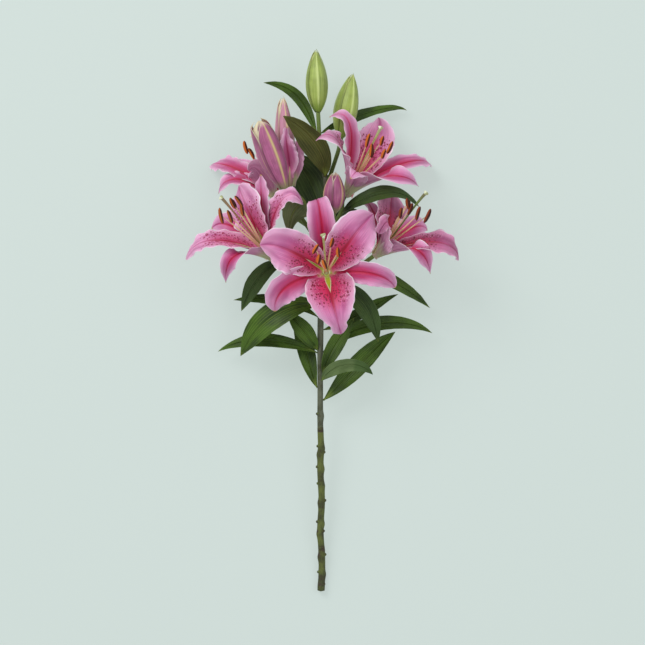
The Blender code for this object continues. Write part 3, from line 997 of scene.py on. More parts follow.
@dataclass(frozen=True)
class BladeForm:
    """Outline, cupped section and waves of a blade.

    The outline is widest at lead / (lead + tail), is never narrower at its foot
    than base of its width, and ends in a point that end makes rounder.  Cup is
    how far the section bends at the foot, the middle and the tip, in radians.
    Waves and ruffles are how many there are along the edge, wave and ruffle how
    far they lift it, and groove how deep the midrib lies, in millimetres.
    """

    lead: float
    tail: float
    base: float
    cup: tuple[float, float, float]
    wave: float
    waves: float
    ruffle: float
    ruffles: float
    groove: float
    end: float = 0.0

    def half(self, u: np.ndarray) -> np.ndarray:
        """Half width from zero to one.

        Args:
            u: shares along the blade.

        Returns:
            The half width at each share.
        """
        peak = self.lead / (self.lead + self.tail)
        top = peak ** self.lead * (1 - peak) ** self.tail
        body = np.maximum(u, 0) ** self.lead * np.maximum(1 - u, 0) ** self.tail / top
        round_end = self.end * np.clip((u - 0.4) / 0.3, 0, 1) * np.clip((1 - u) / 0.06, 0, 1) ** 0.5
        return np.maximum(body, self.base * np.clip(1 - 2.2 * u, 0, 1) + 0.03 * (1 - u) ** 0.2
                          + round_end)

    def surface(self, line: np.ndarray, normal: Sequence[float], width: float,
                phase: float, twist: float = 0.0) -> Surface:
        """The blade's middle surface.

        Args:
            line: midrib in millimetres.
            normal: the way the inner face looks.
            width: greatest width in millimetres.
            phase: where its waves start.
            twist: how far it has turned round its midrib at the tip, in degrees.

        Returns:
            A function of the shares along and across.
        """
        tangents, normals = frames(line, normal)

        def points(u: np.ndarray, v: np.ndarray) -> np.ndarray:
            """Points of the surface.

            Args:
                u: shares along it, from zero to one.
                v: shares across it, from -1 to 1.

            Returns:
                The points in millimetres.
            """
            centre, t, n = at(line, u), at(tangents, u), at(normals, u)
            side = np.cross(t, n)
            later = np.clip((u - 0.38) / 0.42, 0, 1)
            turn = math.radians(twist) * (later * later * (3 - 2 * later))[..., None]
            n, side = (n * np.cos(turn) + side * np.sin(turn),
                       side * np.cos(turn) - n * np.sin(turn))
            half = 0.5 * width * self.half(u)
            first, middle, last = self.cup
            early, late = np.clip(u / 0.5, 0, 1), np.clip((u - 0.5) / 0.5, 0, 1)
            bend = (first + (middle - first) * early ** 2 * (3 - 2 * early)
                    + (last - middle) * late ** 1.5)
            bend = np.where(np.abs(bend) < 0.02, 0.02, bend)
            across = half * np.sin(bend * v) / bend
            lift = half * (1 - np.cos(bend * v)) / bend
            rise = np.clip((u - 0.18) / 0.3, 0, 1) * np.clip((1 - u) / 0.12, 0, 1)
            edge = np.sign(v)
            lift = lift + (self.wave * rise * np.abs(v) ** 3
                           * np.sin(2 * math.pi * self.waves * u + phase + 2.1 * edge))
            lift = lift + (self.ruffle * rise * np.abs(v) ** 5
                           * np.sin(2 * math.pi * self.ruffles * u + 1.7 * phase + 1.3 * edge
                                    + 1.5 * np.sin(9 * u + phase)))
            fade = np.clip(u / 0.15, 0, 1) * np.clip((1 - u) / 0.15, 0, 1)
            lift = lift - self.groove * fade * (bump(v, 0, 0.07) - 0.5 * bump(np.abs(v), 0.2, 0.09))
            across = across + (0.25 * self.ruffle * rise * np.abs(v) ** 6 * edge
                               * np.sin(2 * math.pi * 1.7 * self.ruffles * u + phase))
            return centre + side * across[..., None] + n * lift[..., None]

        return points


class Kind(Enum):
    """Kinds of blade."""

    PETAL = BladeForm(1.40, 0.86, 0.42, (1.15, 0.42, -0.35), 2.2, 2.5, 1.8, 6.5, 0.8, 0.14)
    WIDE = BladeForm(1.00, 1.42, 0.42, (1.15, 0.42, -0.55), 2.2, 2.5, 1.6, 6.5, 0.8, 0.30)
    FOLDED = BladeForm(0.85, 1.30, 0.36, (1.15, 0.60, 0.20), 1.2, 2.0, 0.7, 5.0, 0.8, 0.04)
    SEPAL = BladeForm(1.15, 0.84, 0.36, (1.15, 0.38, -0.15), 1.2, 2.0, 1.3, 5.5, 0.8, 0.05)
    STALKED = BladeForm(5.5, 0.90, 0.10, (0.95, 0.40, 0.25), 1.0, 2.0, 0.25, 7.0, 0.7)
    LEAF = BladeForm(0.95, 1.0, 0.07, (0.95, 0.40, 0.25), 1.0, 2.0, 0.25, 7.0, 0.7)


class Skin(Enum):
    """Looks of a leaf's upper face."""

    GREEN = "green"
    OLIVE = "olive"
    PALE = "pale"
    DEEP = "deep"
    GREY = "grey"


@dataclass
class Palette:
    """All the finishes, made once."""

    made: dict[str, bpy.types.Material] = field(default_factory=dict)

    def __getitem__(self, finish: object) -> bpy.types.Material:
        """The material of a finish.

        Args:
            finish: any of the finishes.

        Returns:
            Its material, which is made when it is first asked for.
        """
        if finish.name not in self.made:
            self.made[finish.name] = finish.make()
        return self.made[finish.name]


PETAL_IN = TepalFinish("petal_inner")
PETAL_ROSE = TepalFinish("petal_inner_rose", body=tint(216, 128, 176), shade=tint(166, 72, 126),
                         flush=tint(208, 76, 130), bright=tint(206, 28, 84),
                         spot=tint(140, 10, 54), spread=0.12)
# painted shade: a darker copy of the petal finish for the bloom on the right, which lies in shadow
PETAL_SHADED = TepalFinish("petal_inner_shaded", body=tint(194, 104, 150), shade=tint(148, 60, 108),
                         margin=tint(224, 158, 194), flush=tint(172, 38, 90),
                         bright=tint(190, 18, 66), spot=tint(120, 4, 40), spread=0.05)
# paler copy of the petal finish with softer, wider spots; its paleness is painted light for the
# brightly lit bloom on the left
PETAL_SOFT_LIT = TepalFinish("petal_inner_soft_lit", body=tint(238, 160, 204), flush=tint(228, 120, 168),
                         bright=tint(216, 48, 104), spot=tint(168, 24, 80),
                         furrow=tint(250, 200, 224), spread=0.12)
SEPAL_IN = TepalFinish("sepal_inner", spotted=False, bright=tint(210, 30, 88),
                       streak=tint(186, 6, 66))
PETAL_RIM = TepalFinish("petal_rim", spotted=False, body=tint(226, 168, 200),
                        flush=tint(196, 100, 146), bright=tint(190, 84, 132),
                        streak=tint(170, 50, 100), nectary=tint(190, 116, 152),
                        throat=tint(190, 116, 152))
TEPAL_OUT = TepalBackFinish("tepal_outer")
LEAF_GREEN = LeafFinish("leaf_green")
LEAF_DEEP = LeafFinish("leaf_deep", body=tint(64, 88, 36), shade=tint(38, 58, 22),
                       vein=tint(92, 116, 62), rib=tint(92, 116, 56))
LEAF_OLIVE = LeafFinish("leaf_olive", body=tint(86, 90, 36), shade=tint(60, 64, 24),
                        vein=tint(122, 118, 62), rib=tint(130, 124, 66), roughness=0.5)
LEAF_GREY = LeafFinish("leaf_grey", body=tint(118, 136, 88), shade=tint(82, 98, 56),
                       vein=tint(140, 156, 104), rib=tint(166, 186, 76), roughness=0.5)
LEAF_PALE = LeafFinish("leaf_pale", body=tint(98, 118, 70), shade=tint(72, 92, 46),
                       vein=tint(122, 140, 92), rib=tint(142, 162, 100), tip=tint(58, 86, 32),
                       turns=0.62, roughness=0.5)
LEAF_BACK = LeafFinish("leaf_back", body=tint(92, 114, 60), shade=tint(72, 94, 44),
                       vein=tint(122, 142, 86), rib=tint(144, 160, 104), roughness=0.52)
STEM_SKIN = StalkFinish("stem_skin")
# the receptacle glows faintly: painted light in the dark throat
THROAT_SKIN = StalkFinish("throat_skin", body=tint(218, 226, 172), dark=tint(176, 190, 110),
                          blotch=0.1, painted_glow=0.3)
STALK_SKIN = StalkFinish("stalk_skin", body=tint(102, 128, 56), dark=tint(76, 92, 42), blotch=0.2)
BUD_GREEN = BudFinish("bud_green")
BUD_PINK = BudFinish("bud_pink", body=tint(186, 100, 146), groove=tint(104, 50, 74),
                     rib=tint(214, 192, 128), foot=tint(150, 170, 100), tip=tint(240, 230, 192))
BUD_BLUSH = BudFinish("bud_blush", body=tint(212, 140, 172), groove=tint(140, 96, 84),
                      rib=tint(226, 206, 150), foot=tint(150, 150, 90), tip=tint(240, 226, 190))
FILAMENT = ThreadFinish("filament")
STYLE = ThreadFinish("style", foot=tint(150, 176, 84), top=tint(190, 190, 120),
                     knob=tint(176, 184, 132))
STYLE_GREEN = ThreadFinish("style_green", foot=tint(176, 186, 104), top=tint(116, 140, 66),
                           knob=tint(126, 120, 84))
STYLE_BROWN = ThreadFinish("style_brown", foot=tint(190, 182, 112), top=tint(160, 122, 84),
                           knob=tint(150, 132, 100))
ANTHER = PollenFinish("anther")
ANTHER_BROWN = PollenFinish("anther_brown", body=tint(176, 88, 30), dark=tint(70, 24, 14))
ANTHER_DARK = PollenFinish("anther_dark", body=tint(142, 58, 22), dark=tint(62, 16, 12))
STIGMA = PollenFinish("stigma", body=tint(232, 234, 204), dark=tint(176, 178, 128), rough=0.35)
FLOOR = tint(134, 142, 140)
GLOW = tint(172, 182, 178)
SKY = tint(236, 242, 242)
LEAF_SKINS = {Skin.GREEN: LEAF_GREEN, Skin.DEEP: LEAF_DEEP, Skin.OLIVE: LEAF_OLIVE,
              Skin.PALE: LEAF_PALE, Skin.GREY: LEAF_GREY}


# ---------------------------------------------------------------- stem

@dataclass
class Stem:
    """The cut stem with its leaf scars and the stalks of the blooms and buds."""

    line: tuple[tuple[float, ...], ...] = (
        (0, 0, 4.6, 4.6), (1, 26, 7, 4.3), (1, 50, 10, 4.2), (-1, 86, 15, 4.2), (1, 124, 20, 4.1),
        (-1, 167, 25, 4.1), (0, 197, 29, 4.1), (-1, 228, 32, 3.7), (-1, 282, 38, 3.6),
        (-1, 336, 43, 3.8), (0, 397, 47, 4), (1, 458, 50, 4), (5, 516, 52, 3.6), (7, 548, 54, 3.2),
        (3, 580, 56, 2.9), (-2, 618, 59, 2.7), (-4, 652, 62, 2.6))
    scars: tuple[tuple[float, float], ...] = (
        (9, 50), (26, 190), (50, 5), (59, 100), (82, 20), (95, 170), (124, 5), (147, 200),
        (170, 165), (190, 350), (198, 185), (221, 95), (242, 180))
    stalks: dict[str, tuple[float, Point]] = field(default_factory=lambda: {
        "bloom_front": (393, (5, 416, 54)), "bloom_left": (408, (-39, 443, 58)),
        "bloom_right": (416, (47, 440, 58)), "bloom_upper_right": (481, (26, 513, 46)),
        "bloom_upper_left": (483, (-45, 516, 34)), "bud_right": (549, (22, 594, 54)),
        "bud_large": (467, (-30, 513, 74)), "bud_behind": (497, (-28, 522, 54)),
        "bud_small": (473, (15, 498, 78))})
    stalk_radius: float = 2.7
    stalk_spread: float = 1.08
    into_bloom: float = 0.8
    into_bud: float = 1.6
    stoutness: float = 1.06
    swelling: float = 0.12
    knob: float = 0.36
    ring_height: float = 221.0
    low_ring_height: float = 57.0
    green_height: float = 620.0
    scar_length: float = 7.0
    scar_radius: float = 1.8
    scar_sag: float = 1.6

    def middle(self) -> np.ndarray:
        """Middle line with the radius at each point."""
        return smooth_path(self.line, 193)

    def at_height(self, height: float) -> np.ndarray:
        """Point of the middle line and its radius at a height along it."""
        line = self.middle()
        return np.array([np.interp(height, line[:, 1], line[:, i]) for i in range(4)])

    def stalk_line(self, name: str, end: np.ndarray, facing: np.ndarray, stop: float) -> np.ndarray:
        """Middle line of a stalk, from inside the stem to what it carries.

        Args:
            name: what it carries.
            end: the foot of that.
            facing: the way that looks.
            stop: how far before the foot it ends, in millimetres.

        Returns:
            The points as rows.
        """
        height, way = self.stalks[name]
        return smooth_path([self.at_height(height)[:3], way, end - facing * (stop + 10),
                            end - facing * stop], 31)

    def build(self, ends: dict[str, np.ndarray], palette: Palette) -> bpy.types.Object:
        """Make the stem, its scars and its stalks.

        Args:
            ends: the middle line of each stalk by name.
            palette: the finishes.

        Returns:
            The joined object.
        """
        line = self.middle()
        rows = np.linspace(0, len(line) - 1, 241)
        radii = np.interp(rows, np.arange(len(line)), line[:, 3])
        heights = np.interp(rows, np.arange(len(line)), line[:, 1])
        for height, _ in self.scars:
            radii = radii + self.swelling * bump(heights, height, 3.5)
        crooked = 0.02 * np.sin(heights / 17.0) + 0.012 * np.sin(heights / 5.3)
        radii = radii * (self.stoutness + crooked)

        def height_of(share: np.ndarray) -> np.ndarray:
            """Height along the stem at shares of its length."""
            return np.interp(share, np.linspace(0, 1, len(heights)), heights)

        def knobs(angle: np.ndarray, share: np.ndarray) -> np.ndarray:
            """Swellings under the scars and shallow lengthwise flutes."""
            flutes = 0.018 * np.cos(5 * angle + 3 * share) + 0.01 * np.cos(11 * angle)
            return 1 + flutes + self.knob * self.near_scar(angle, height_of(share), 3.0, 5.5, 0.75)

        def browned(angle: np.ndarray, share: np.ndarray) -> tuple:
            """How brown the skin is under its scars, and how grey above the bare length.

            Args:
                angle: turns round the stem.
                share: shares along it.

            Returns:
                The brown, the grey and the share.
            """
            height = height_of(share)
            ring = (bump(height, self.ring_height, 3.0)
                    + 0.45 * bump(height, self.low_ring_height, 9.0))
            brown = 0.8 * self.near_scar(angle, height, -1.0, 2.6, 0.6) + ring
            grey = (np.clip((height - self.ring_height) / 6, 0, 1)
                    * np.clip((self.green_height - height) / 60, 0, 1))
            return np.clip(brown, 0, 1), grey, share

        pieces = [swept(line[:, :3], radii, 40, 420, palette[STEM_SKIN], 0.0, knobs, browned, 0.0)]
        for height, turn in self.scars:
            pieces.append(self.scar(height, turn, palette))
        widths = np.array([1.0, self.stalk_spread]) * self.stalk_radius
        for stalk in ends.values():
            pieces.append(swept(stalk, widths, 24, 48, palette[STALK_SKIN], len(pieces),
                                blunt=0.25))
        return gather("fine_stem", pieces, "stem")

    def near_scar(self, angle: np.ndarray, height: np.ndarray, below: float, length: float,
                  spread: float) -> np.ndarray:
        """Closeness to the nearest scar.

        Args:
            angle: turns round the stem, as the sweep counts them.
            height: heights along it.
            below: how far under the scar the closeness is greatest, in millimetres.
            length: how far it reaches along the stem, in millimetres.
            spread: how far it reaches round the stem, in radians.

        Returns:
            The closeness, from zero to one.
        """
        total = np.zeros_like(angle)
        for place, turn in self.scars:
            gap = np.angle(np.exp(1j * (angle - math.radians(turn - 90.0))))
            total = np.maximum(total, bump(height, place - below, length) * bump(gap, 0, spread))
        return total

    def scar(self, height: float, turn: float, palette: Palette) -> bpy.types.Object:
        """A crescent-shaped scar where a leaf has been taken off.

        Args:
            height: its height along the stem.
            turn: its turn round the stem, 0 at the right and 90 on top.
            palette: the finishes.

        Returns:
            The scar.
        """
        x, y, z, radius = self.at_height(height)
        a = math.radians(turn)
        out = np.array([math.cos(a), 0.15, math.sin(a)])
        along = unit((out[2], 0.35, -out[0]))
        share = np.linspace(-1, 1, 9)
        line = (np.array([x, y, z]) + out * (radius + 0.5)
                + np.outer(share, along * self.scar_length / 2)
                - np.outer(share ** 2, out * self.scar_sag))
        return swept(line, self.scar_radius, 14, 16, palette[STEM_SKIN], height, None,
                     lambda angle, share: (0.5, 0.0, share), blunt=1.0)


# ---------------------------------------------------------------- buds

@dataclass
class Bud:
    """A closed or half-open bud of six tepals."""

    name: str
    base: Point
    tip: Point
    width: float
    turn: float
    finish: BudFinish
    slot: str
    blunt: float = 0.0
    parting: float = 0.0
    opening: tuple[tuple, ...] = ()
    gap: float = 0.35
    lip: Kind = Kind.SEPAL
    sepal_span: float = 66.0
    sepal_thickness: float = 0.7
    rib_height: float = 0.55
    lip_thickness: float = 0.9
    finest: int = 121

    def facing(self) -> np.ndarray:
        """The way that the bud points."""
        return unit(np.array(self.tip, float) - self.base)

    def middle(self) -> np.ndarray:
        """Middle line from just past the stalk to the tip."""
        start = self.base + self.facing() * self.gap
        return start + (np.array(self.tip, float) - start) * np.linspace(0, 1, 33)[:, None]

    def swell(self) -> np.ndarray:
        """How the bud swells and narrows along its length.

        Returns:
            Half widths from zero to one, evenly spaced.
        """
        u = np.linspace(0, 1, self.finest)
        end, power = 0.945 - 0.5 * self.blunt, 0.86 + 0.5 * self.blunt
        return np.sin(math.pi * (0.03 + end * u) ** power) ** 0.82

    def core(self, angle: np.ndarray, share: np.ndarray) -> np.ndarray:
        """Three petals that show between the sepals and part at the tip.

        Args:
            angle: turns round the bud.
            share: shares along it.

        Returns:
            The factor on the bud's radius.
        """
        lobes = np.cos(3 * (angle - math.radians(self.turn)))
        end = np.clip((share - 0.9) / 0.1, 0, 1)
        return (0.96 + 0.03 * lobes) * (1 - 0.95 * end ** 1.5)

    def sepal(self, k: int) -> Surface:
        """Surface of one sepal that wraps a third of the bud.

        Args:
            k: which of the three it is.

        Returns:
            A function of the shares along and across.
        """
        line, turn, swell = self.middle(), math.radians(self.turn), self.swell()
        tangents, normals = frames(line, START)

        def points(u: np.ndarray, v: np.ndarray) -> np.ndarray:
            """Points of the wrapped sepal.

            Args:
                u: shares along it, from zero to one.
                v: shares across it, from -1 to 1.

            Returns:
                The points in millimetres.
            """
            late = np.clip((u - 0.7) / 0.3, 0, 1)
            span = math.radians(self.sepal_span) * (1 - late ** 2.2) * np.clip(0.55 + 3 * u, 0, 1)
            angle = turn + math.tau * k / 3 + v * span
            swollen = np.interp(u, np.linspace(0, 1, self.finest), swell)
            half = 0.5 * self.width * swollen * (1 + 0.04 * np.cos(3 * (angle - turn)))
            rib = bump(v, 0, 0.09) - 0.35 * bump(np.abs(v), 0.2, 0.1)
            away = self.parting * late ** 1.5 + 0.25 + 0.35 * v
            reach = half * (1 - 0.12 * late ** 3) + away + self.rib_height * rib * np.clip(
                u / 0.1, 0, 1)
            reach = reach * (1 - 0.5 * np.clip((u - 0.93) / 0.07, 0, 1) ** 2)
            longer = (line[-1] - line[0]) * (0.02 * late ** 3 * (k % 2))[..., None]
            return round_about(line, tangents, normals, u, angle, reach) + longer

        return points

    def build(self, palette: Palette) -> bpy.types.Object:
        """Make the bud: its core, three wrapped sepals and any flared rims.

        Args:
            palette: the finishes.

        Returns:
            The joined object.
        """

        def ribbed(v: np.ndarray, u: np.ndarray) -> tuple:
            """Where the rib and the seams are, and the share along."""
            fade = np.clip(u / 0.15, 0, 1)
            return bump(v, 0, 0.08) * fade, np.abs(v) ** 7 * fade, u

        skin = palette[self.finish]
        # the core is marked three quarters of the way to the groove colour: painted shade between
        # the sepals
        pieces = [swept(self.middle(), 0.5 * self.width * self.swell(), 44, 44, skin, self.turn,
                        self.core, lambda angle, share: (0.0, 0.75, share), 0.0)]
        for k in range(3):
            pieces.append(blade(self.sepal(k), self.width, 90.0, k + self.turn, 66, 36,
                                self.sepal_thickness, (skin,), ribbed))
        for k, (*pulls, wide) in enumerate(self.opening):
            inside, outside = palette[PETAL_RIM], palette[TEPAL_OUT]
            kind, skins = (self.lip, (inside, outside)) if k else (Kind.SEPAL, (outside, inside))
            rim = kind.value.surface(bezier(pulls), (0.3, 0, 1), wide, k)
            pieces.append(blade(rim, wide, 70.0, k + 0.5, 60, 28, self.lip_thickness, skins))
        return gather(f"fine_{self.name}", pieces, self.name)


# ---------------------------------------------------------------- blooms

@dataclass(frozen=True)
class Tepal:
    """One petal or sepal: the bend that it curves towards, its tip and its width."""

    kind: Kind
    bend: Point
    tip: Point
    width: float
    twist: float = 0.0

    def is_petal(self) -> bool:
        """Whether it is one of the three inner tepals."""
        return self.kind in (Kind.PETAL, Kind.WIDE)


@dataclass
class Bloom:
    """An open bloom: six tepals round a funnel, six stamens and a pistil."""

    name: str
    base: Point
    axis: Point
    tepals: tuple[Tepal, ...]
    anthers: tuple[tuple[Point, float, float], ...]
    stigma: Point
    tube: float = 38.0
    petal_ring: float = 4.6
    sepal_ring: float = 5.8
    petal_flare: float = 4.0
    sepal_flare: float = 9.5
    below: float = 4.2
    above: float = 2.4
    gap: float = 0.35
    inner: TepalFinish = PETAL_IN
    style: ThreadFinish = STYLE
    pollen: PollenFinish = ANTHER
    foot_radius: float = 5.7
    tepal_thickness: float = 0.9
    ovary_length: float = 15.0
    ovary_radii: tuple[float, ...] = (3.2, 3.5, 3.2, 2.4)
    filament_radii: tuple[float, ...] = (1.9, 1.3, 0.95, 0.6)
    style_radii: tuple[float, ...] = (1.7, 1.2, 1.1, 1.3, 2.2)
    knob_depth: float = 5.2
    knob_radii: tuple[float, ...] = (2.0, 3.0, 3.5, 3.4, 2.6)
    anther_radius: float = 2.75
    anther_stretch: float = 1.2

    def way(self) -> tuple[np.ndarray, np.ndarray]:
        """The funnel's base and the way that it faces."""
        return np.array(self.base, float), unit(self.axis)

    def radial(self, point: np.ndarray) -> np.ndarray:
        """The way from the funnel's axis to a point."""
        base, axis = self.way()
        return unit(point - base - axis * (point - base).dot(axis))

    def midrib(self, tepal: Tepal) -> np.ndarray:
        """Middle line of a tepal, up the funnel, over the bend and to the tip.

        Args:
            tepal: the petal or sepal.

        Returns:
            The points as rows.
        """
        base, axis = self.way()
        radial = self.radial(np.array(tepal.bend, float))
        ring, flare = self.sepal_ring, self.sepal_flare
        if tepal.is_petal():
            ring, flare = self.petal_ring, self.petal_flare
        shoulder = base + radial * (ring + flare) + axis * self.tube
        return bezier([base + radial * ring - axis * 2.0, shoulder, tepal.bend, tepal.tip])

    def build_tepals(self, palette: Palette) -> bpy.types.Object:
        """Make the receptacle, three petals and three sepals.

        Args:
            palette: the finishes.

        Returns:
            The joined object.
        """
        base, axis = self.way()
        run = base + np.outer(np.linspace(-self.below, self.above, 9), axis)
        pieces = [swept(run, self.foot_radius, 32, 20, palette[THROAT_SKIN], 3.0, blunt=0.6)]
        for k, tepal in enumerate(self.tepals):
            line = self.midrib(tepal)
            surface = tepal.kind.value.surface(line, -self.radial(np.array(tepal.bend, float)),
                                               tepal.width, 1.7 * k, tepal.twist)
            inner = self.inner if tepal.is_petal() else SEPAL_IN
            pieces.append(blade(surface, tepal.width, length_of(line),
                                k + len(self.name) * 1.37, 84, 36, self.tepal_thickness,
                                (palette[inner], palette[TEPAL_OUT])))
        return gather(f"fine_{self.name}_tepals", pieces, f"{self.name}_tepals")

    def build_stamens(self, palette: Palette) -> bpy.types.Object:
        """Make the ovary, six filaments with anthers, and the style with its knob.

        Args:
            palette: the finishes.

        Returns:
            The joined object.
        """
        base, axis = self.way()
        foot = base + axis * (self.above + self.gap)
        green = palette[self.style]
        ovary = foot + np.outer(np.linspace(0, self.ovary_length, 9), axis)
        pieces = [swept(ovary, self.ovary_radii, 30, 24, green, 0.0,
                        lambda angle, share: 1 + 0.08 * np.cos(6 * angle), blunt=0.3)]
        for k, (place, lean, length) in enumerate(self.anthers):
            end = np.array(place, float)
            radial = self.radial(end)
            line = bezier([foot + axis * 4.0 + radial, foot + axis * 26 + radial * 2.5,
                           end - axis * 16 - radial * 3, end])
            pieces.append(swept(line, self.filament_radii, 14, 48, palette[FILAMENT], k,
                                blunt=0.5))
            pieces.append(self.anther(end, lean, length * self.anther_stretch, k, palette))
        end = np.array(self.stigma, float)
        line = bezier([foot + axis * 5, foot + axis * 30, end - axis * 18, end])
        pieces.append(swept(line, self.style_radii, 18, 60, green, blunt=0.2))
        knob = end + np.outer(np.linspace(-0.5, 0.5, 9), axis * self.knob_depth)
        pieces.append(swept(knob, self.knob_radii, 36, 22, palette[STIGMA], 1.0,
                            lambda angle, share: 1 + 0.2 * np.cos(3 * angle) * np.clip(
                                share * 2, 0, 1), blunt=0.5))
        return gather(f"fine_{self.name}_stamens", pieces, f"{self.name}_stamens")

    def anther(self, end: np.ndarray, lean: float, length: float, k: int,
               palette: Palette) -> bpy.types.Object:
        """A pollen sac of two lobes with a slit, curved a little.

        Args:
            end: the filament's end.
            lean: the way that the sac runs, in degrees from the right.
            length: its length.
            k: which of the six it is, and so which way it curves.
            palette: the finishes.

        Returns:
            The anther.
        """
        way = unit((math.cos(math.radians(lean)), math.sin(math.radians(lean)), 0.25))
        share = np.linspace(-0.5, 0.5, 17)
        sag = unit(np.cross(way, (0.3, 0.2, 1.0))) * length * 0.15 * (-1) ** k
        line = end + np.outer(share, way * length) + np.outer(share ** 2 - 0.25, sag)

        def lobes(angle: np.ndarray, along: np.ndarray) -> np.ndarray:
            """Two plump lobes with a slit between them."""
            return 1 - 0.28 * bump(np.abs(np.angle(np.exp(2j * angle))) / 2, 0, 0.32)

        plump = np.sin(math.pi * np.linspace(0.1, 0.9, 9)) ** 0.5
        return swept(line, self.anther_radius * plump, 24, 36, palette[self.pollen], k, lobes,
                     blunt=0.7)


# ---------------------------------------------------------------- leaves

@dataclass
class Leaf:
    """A leaf: what it grows from, where and how turned, its midrib and its width."""

    name: str
    source: str
    place: float
    turn: float
    bend_1: Point
    bend_2: Point
    tip: Point
    width: float
    skin: Skin = Skin.GREEN
    kind: Kind = Kind.LEAF
    thickness: float = 0.8

    def build(self, line: np.ndarray, radii: np.ndarray, spot: int,
              palette: Palette) -> bpy.types.Object:
        """Make the leaf.

        Args:
            line: middle line of what it grows from.
            radii: radius of that at each point.
            spot: the row of that line where it grows.
            palette: the finishes.

        Returns:
            The leaf.
        """
        along = unit(line[min(spot + 1, len(line) - 1)] - line[spot - 1])
        a = math.radians(self.turn)
        out = np.array([math.cos(a), 0.0, math.sin(a)])
        out = unit(out - along * out.dot(along))
        facing = unit(out * 0.2 + along * 0.4 + np.array([0.0, 0.0, 1.0]))
        number = int(self.name[-2:])
        midrib = bezier([line[spot] + out * (radii[spot] + 0.4), self.bend_1, self.bend_2,
                         self.tip])
        surface = self.kind.value.surface(midrib, facing, self.width, 0.9 * number)
        skins = (palette[LEAF_SKINS[self.skin]], palette[LEAF_BACK])
        made = blade(surface, self.width, length_of(midrib), number * 1.31, 90, 30,
                     self.thickness, skins)
        return gather(f"fine_{self.name}", [made], self.name)


# ---------------------------------------------------------------- tables

PETAL, WIDE, SEPAL, FOLDED = Kind.PETAL, Kind.WIDE, Kind.SEPAL, Kind.FOLDED

BLOOMS: tuple[Bloom, ...] = (
    Bloom("bloom_front", (7, 435, 70), (0.03, -0.12, 0.99), (
        Tepal(PETAL, (-50, 477, 150), (-82, 470, 112), 62),
        Tepal(PETAL, (47, 491, 150), (70, 512, 112), 62),
        Tepal(WIDE, (18, 381, 150), (27, 351, 104), 70),
        Tepal(SEPAL, (-5, 564, 150), (-7, 522, 98), 38),
        Tepal(SEPAL, (-65, 423, 132), (-62, 381, 86), 43),
        Tepal(SEPAL, (84, 441, 135), (100, 413, 88), 34),
    ), (
        ((-7, 464, 148), 60, 13), ((-3, 451, 144), 80, 12), ((5, 444, 150), 110, 12),
        ((14, 473, 146), 75, 12), ((23, 460, 140), 95, 12), ((-4, 452, 132), 70, 11),
    ), (3, 482, 158)),
    Bloom("bloom_left", (-66, 455, 70), (-0.6, 0.58, 0.55), (
        Tepal(WIDE, (-163, 497, 130), (-182, 452, 80), 50, -25),
        Tepal(SEPAL, (-131, 514, 72), (-148, 493, 54), 38),
        Tepal(PETAL, (-107, 537, 96), (-111, 551, 70), 62),
        Tepal(SEPAL, (-80, 541, 84), (-81, 566, 80), 36),
        Tepal(PETAL, (-47, 572, 140), (-24, 524, 112), 40),
        Tepal(FOLDED, (-130, 468, 142), (-128, 420, 84), 35, -110),
    ), (
        ((-133, 509, 128), 102, 19), ((-122, 508, 122), 110, 16), ((-118, 526, 122), 115, 14),
        ((-110, 528, 126), 125, 16), ((-105, 517, 120), 100, 15), ((-117, 525, 110), 115, 13),
    ), (-133, 533, 134), inner=PETAL_SOFT_LIT, style=STYLE_BROWN, pollen=ANTHER_BROWN),
    Bloom("bloom_right", (74, 459, 70), (0.62, 0.5, 0.6), (
        Tepal(PETAL, (93, 529, 70), (96, 548, 54), 59),
        Tepal(SEPAL, (66, 521, 84), (59, 536, 58), 32),
        Tepal(WIDE, (97, 524, 166), (77, 485, 122), 46),
        Tepal(PETAL, (182, 490, 130), (185, 450, 86), 40, 12),
        Tepal(SEPAL, (134, 508, 62), (144, 491, 48), 36),
        Tepal(FOLDED, (138, 482, 148), (147, 432, 84), 39, 115),
    ), (
        ((116, 526, 128), 100, 12), ((119, 518, 124), 70, 15), ((130, 512, 126), 75, 17),
        ((142, 509, 122), 65, 18), ((107, 513, 118), 80, 13), ((117, 524, 112), 90, 12),
    ), (140, 539, 132), inner=PETAL_SHADED, style=STYLE_GREEN, pollen=ANTHER_DARK),
    Bloom("bloom_upper_right", (35, 541, 54), (0.43, 0.75, 0.5), (
        Tepal(SEPAL, (54, 666, 100), (11, 643, 76), 34),
        Tepal(PETAL, (23, 641, 138), (-7, 610, 108), 48),
        Tepal(PETAL, (89, 625, 45), (78, 645, 24), 53),
        Tepal(SEPAL, (142, 601, 50), (150, 579, 0), 32),
        Tepal(FOLDED, (109, 575, 158), (131, 549, 92), 46, 75),
        Tepal(SEPAL, (55, 579, 148), (39, 558, 136), 34),
    ), (
        ((63, 610, 112), 75, 17), ((67, 597, 112), 85, 16), ((82, 610, 104), 75, 12),
        ((92, 601, 108), 65, 16), ((84, 592, 112), 70, 12), ((68, 595, 98), 85, 13),
    ), (80, 627, 112), inner=PETAL_ROSE),
    Bloom("bloom_upper_left", (-61, 536, 36), (-0.38, 0.74, 0.55), (
        Tepal(PETAL, (-136, 589, 42), (-150, 581, 0), 35),
        Tepal(SEPAL, (-131, 574, 62), (-139, 541, 40), 32),
        Tepal(PETAL, (-90, 589, 82), (-97, 570, 74), 38),
        Tepal(PETAL, (-72, 606, 40), (-72, 620, 20), 34),
        Tepal(SEPAL, (-54, 562, 28), (-61, 580, 22), 24),
        Tepal(SEPAL, (-115, 589, 28), (-128, 578, 12), 28),
    ), (
        ((-101, 602, 84), 105, 16), ((-94, 594, 80), 118, 14), ((-77, 599, 60), 90, 13),
        ((-70, 594, 54), 80, 13), ((-74, 609, 56), 90, 13), ((-78, 585, 62), 95, 13),
    ), (-92, 618, 82), inner=SEPAL_IN),
)

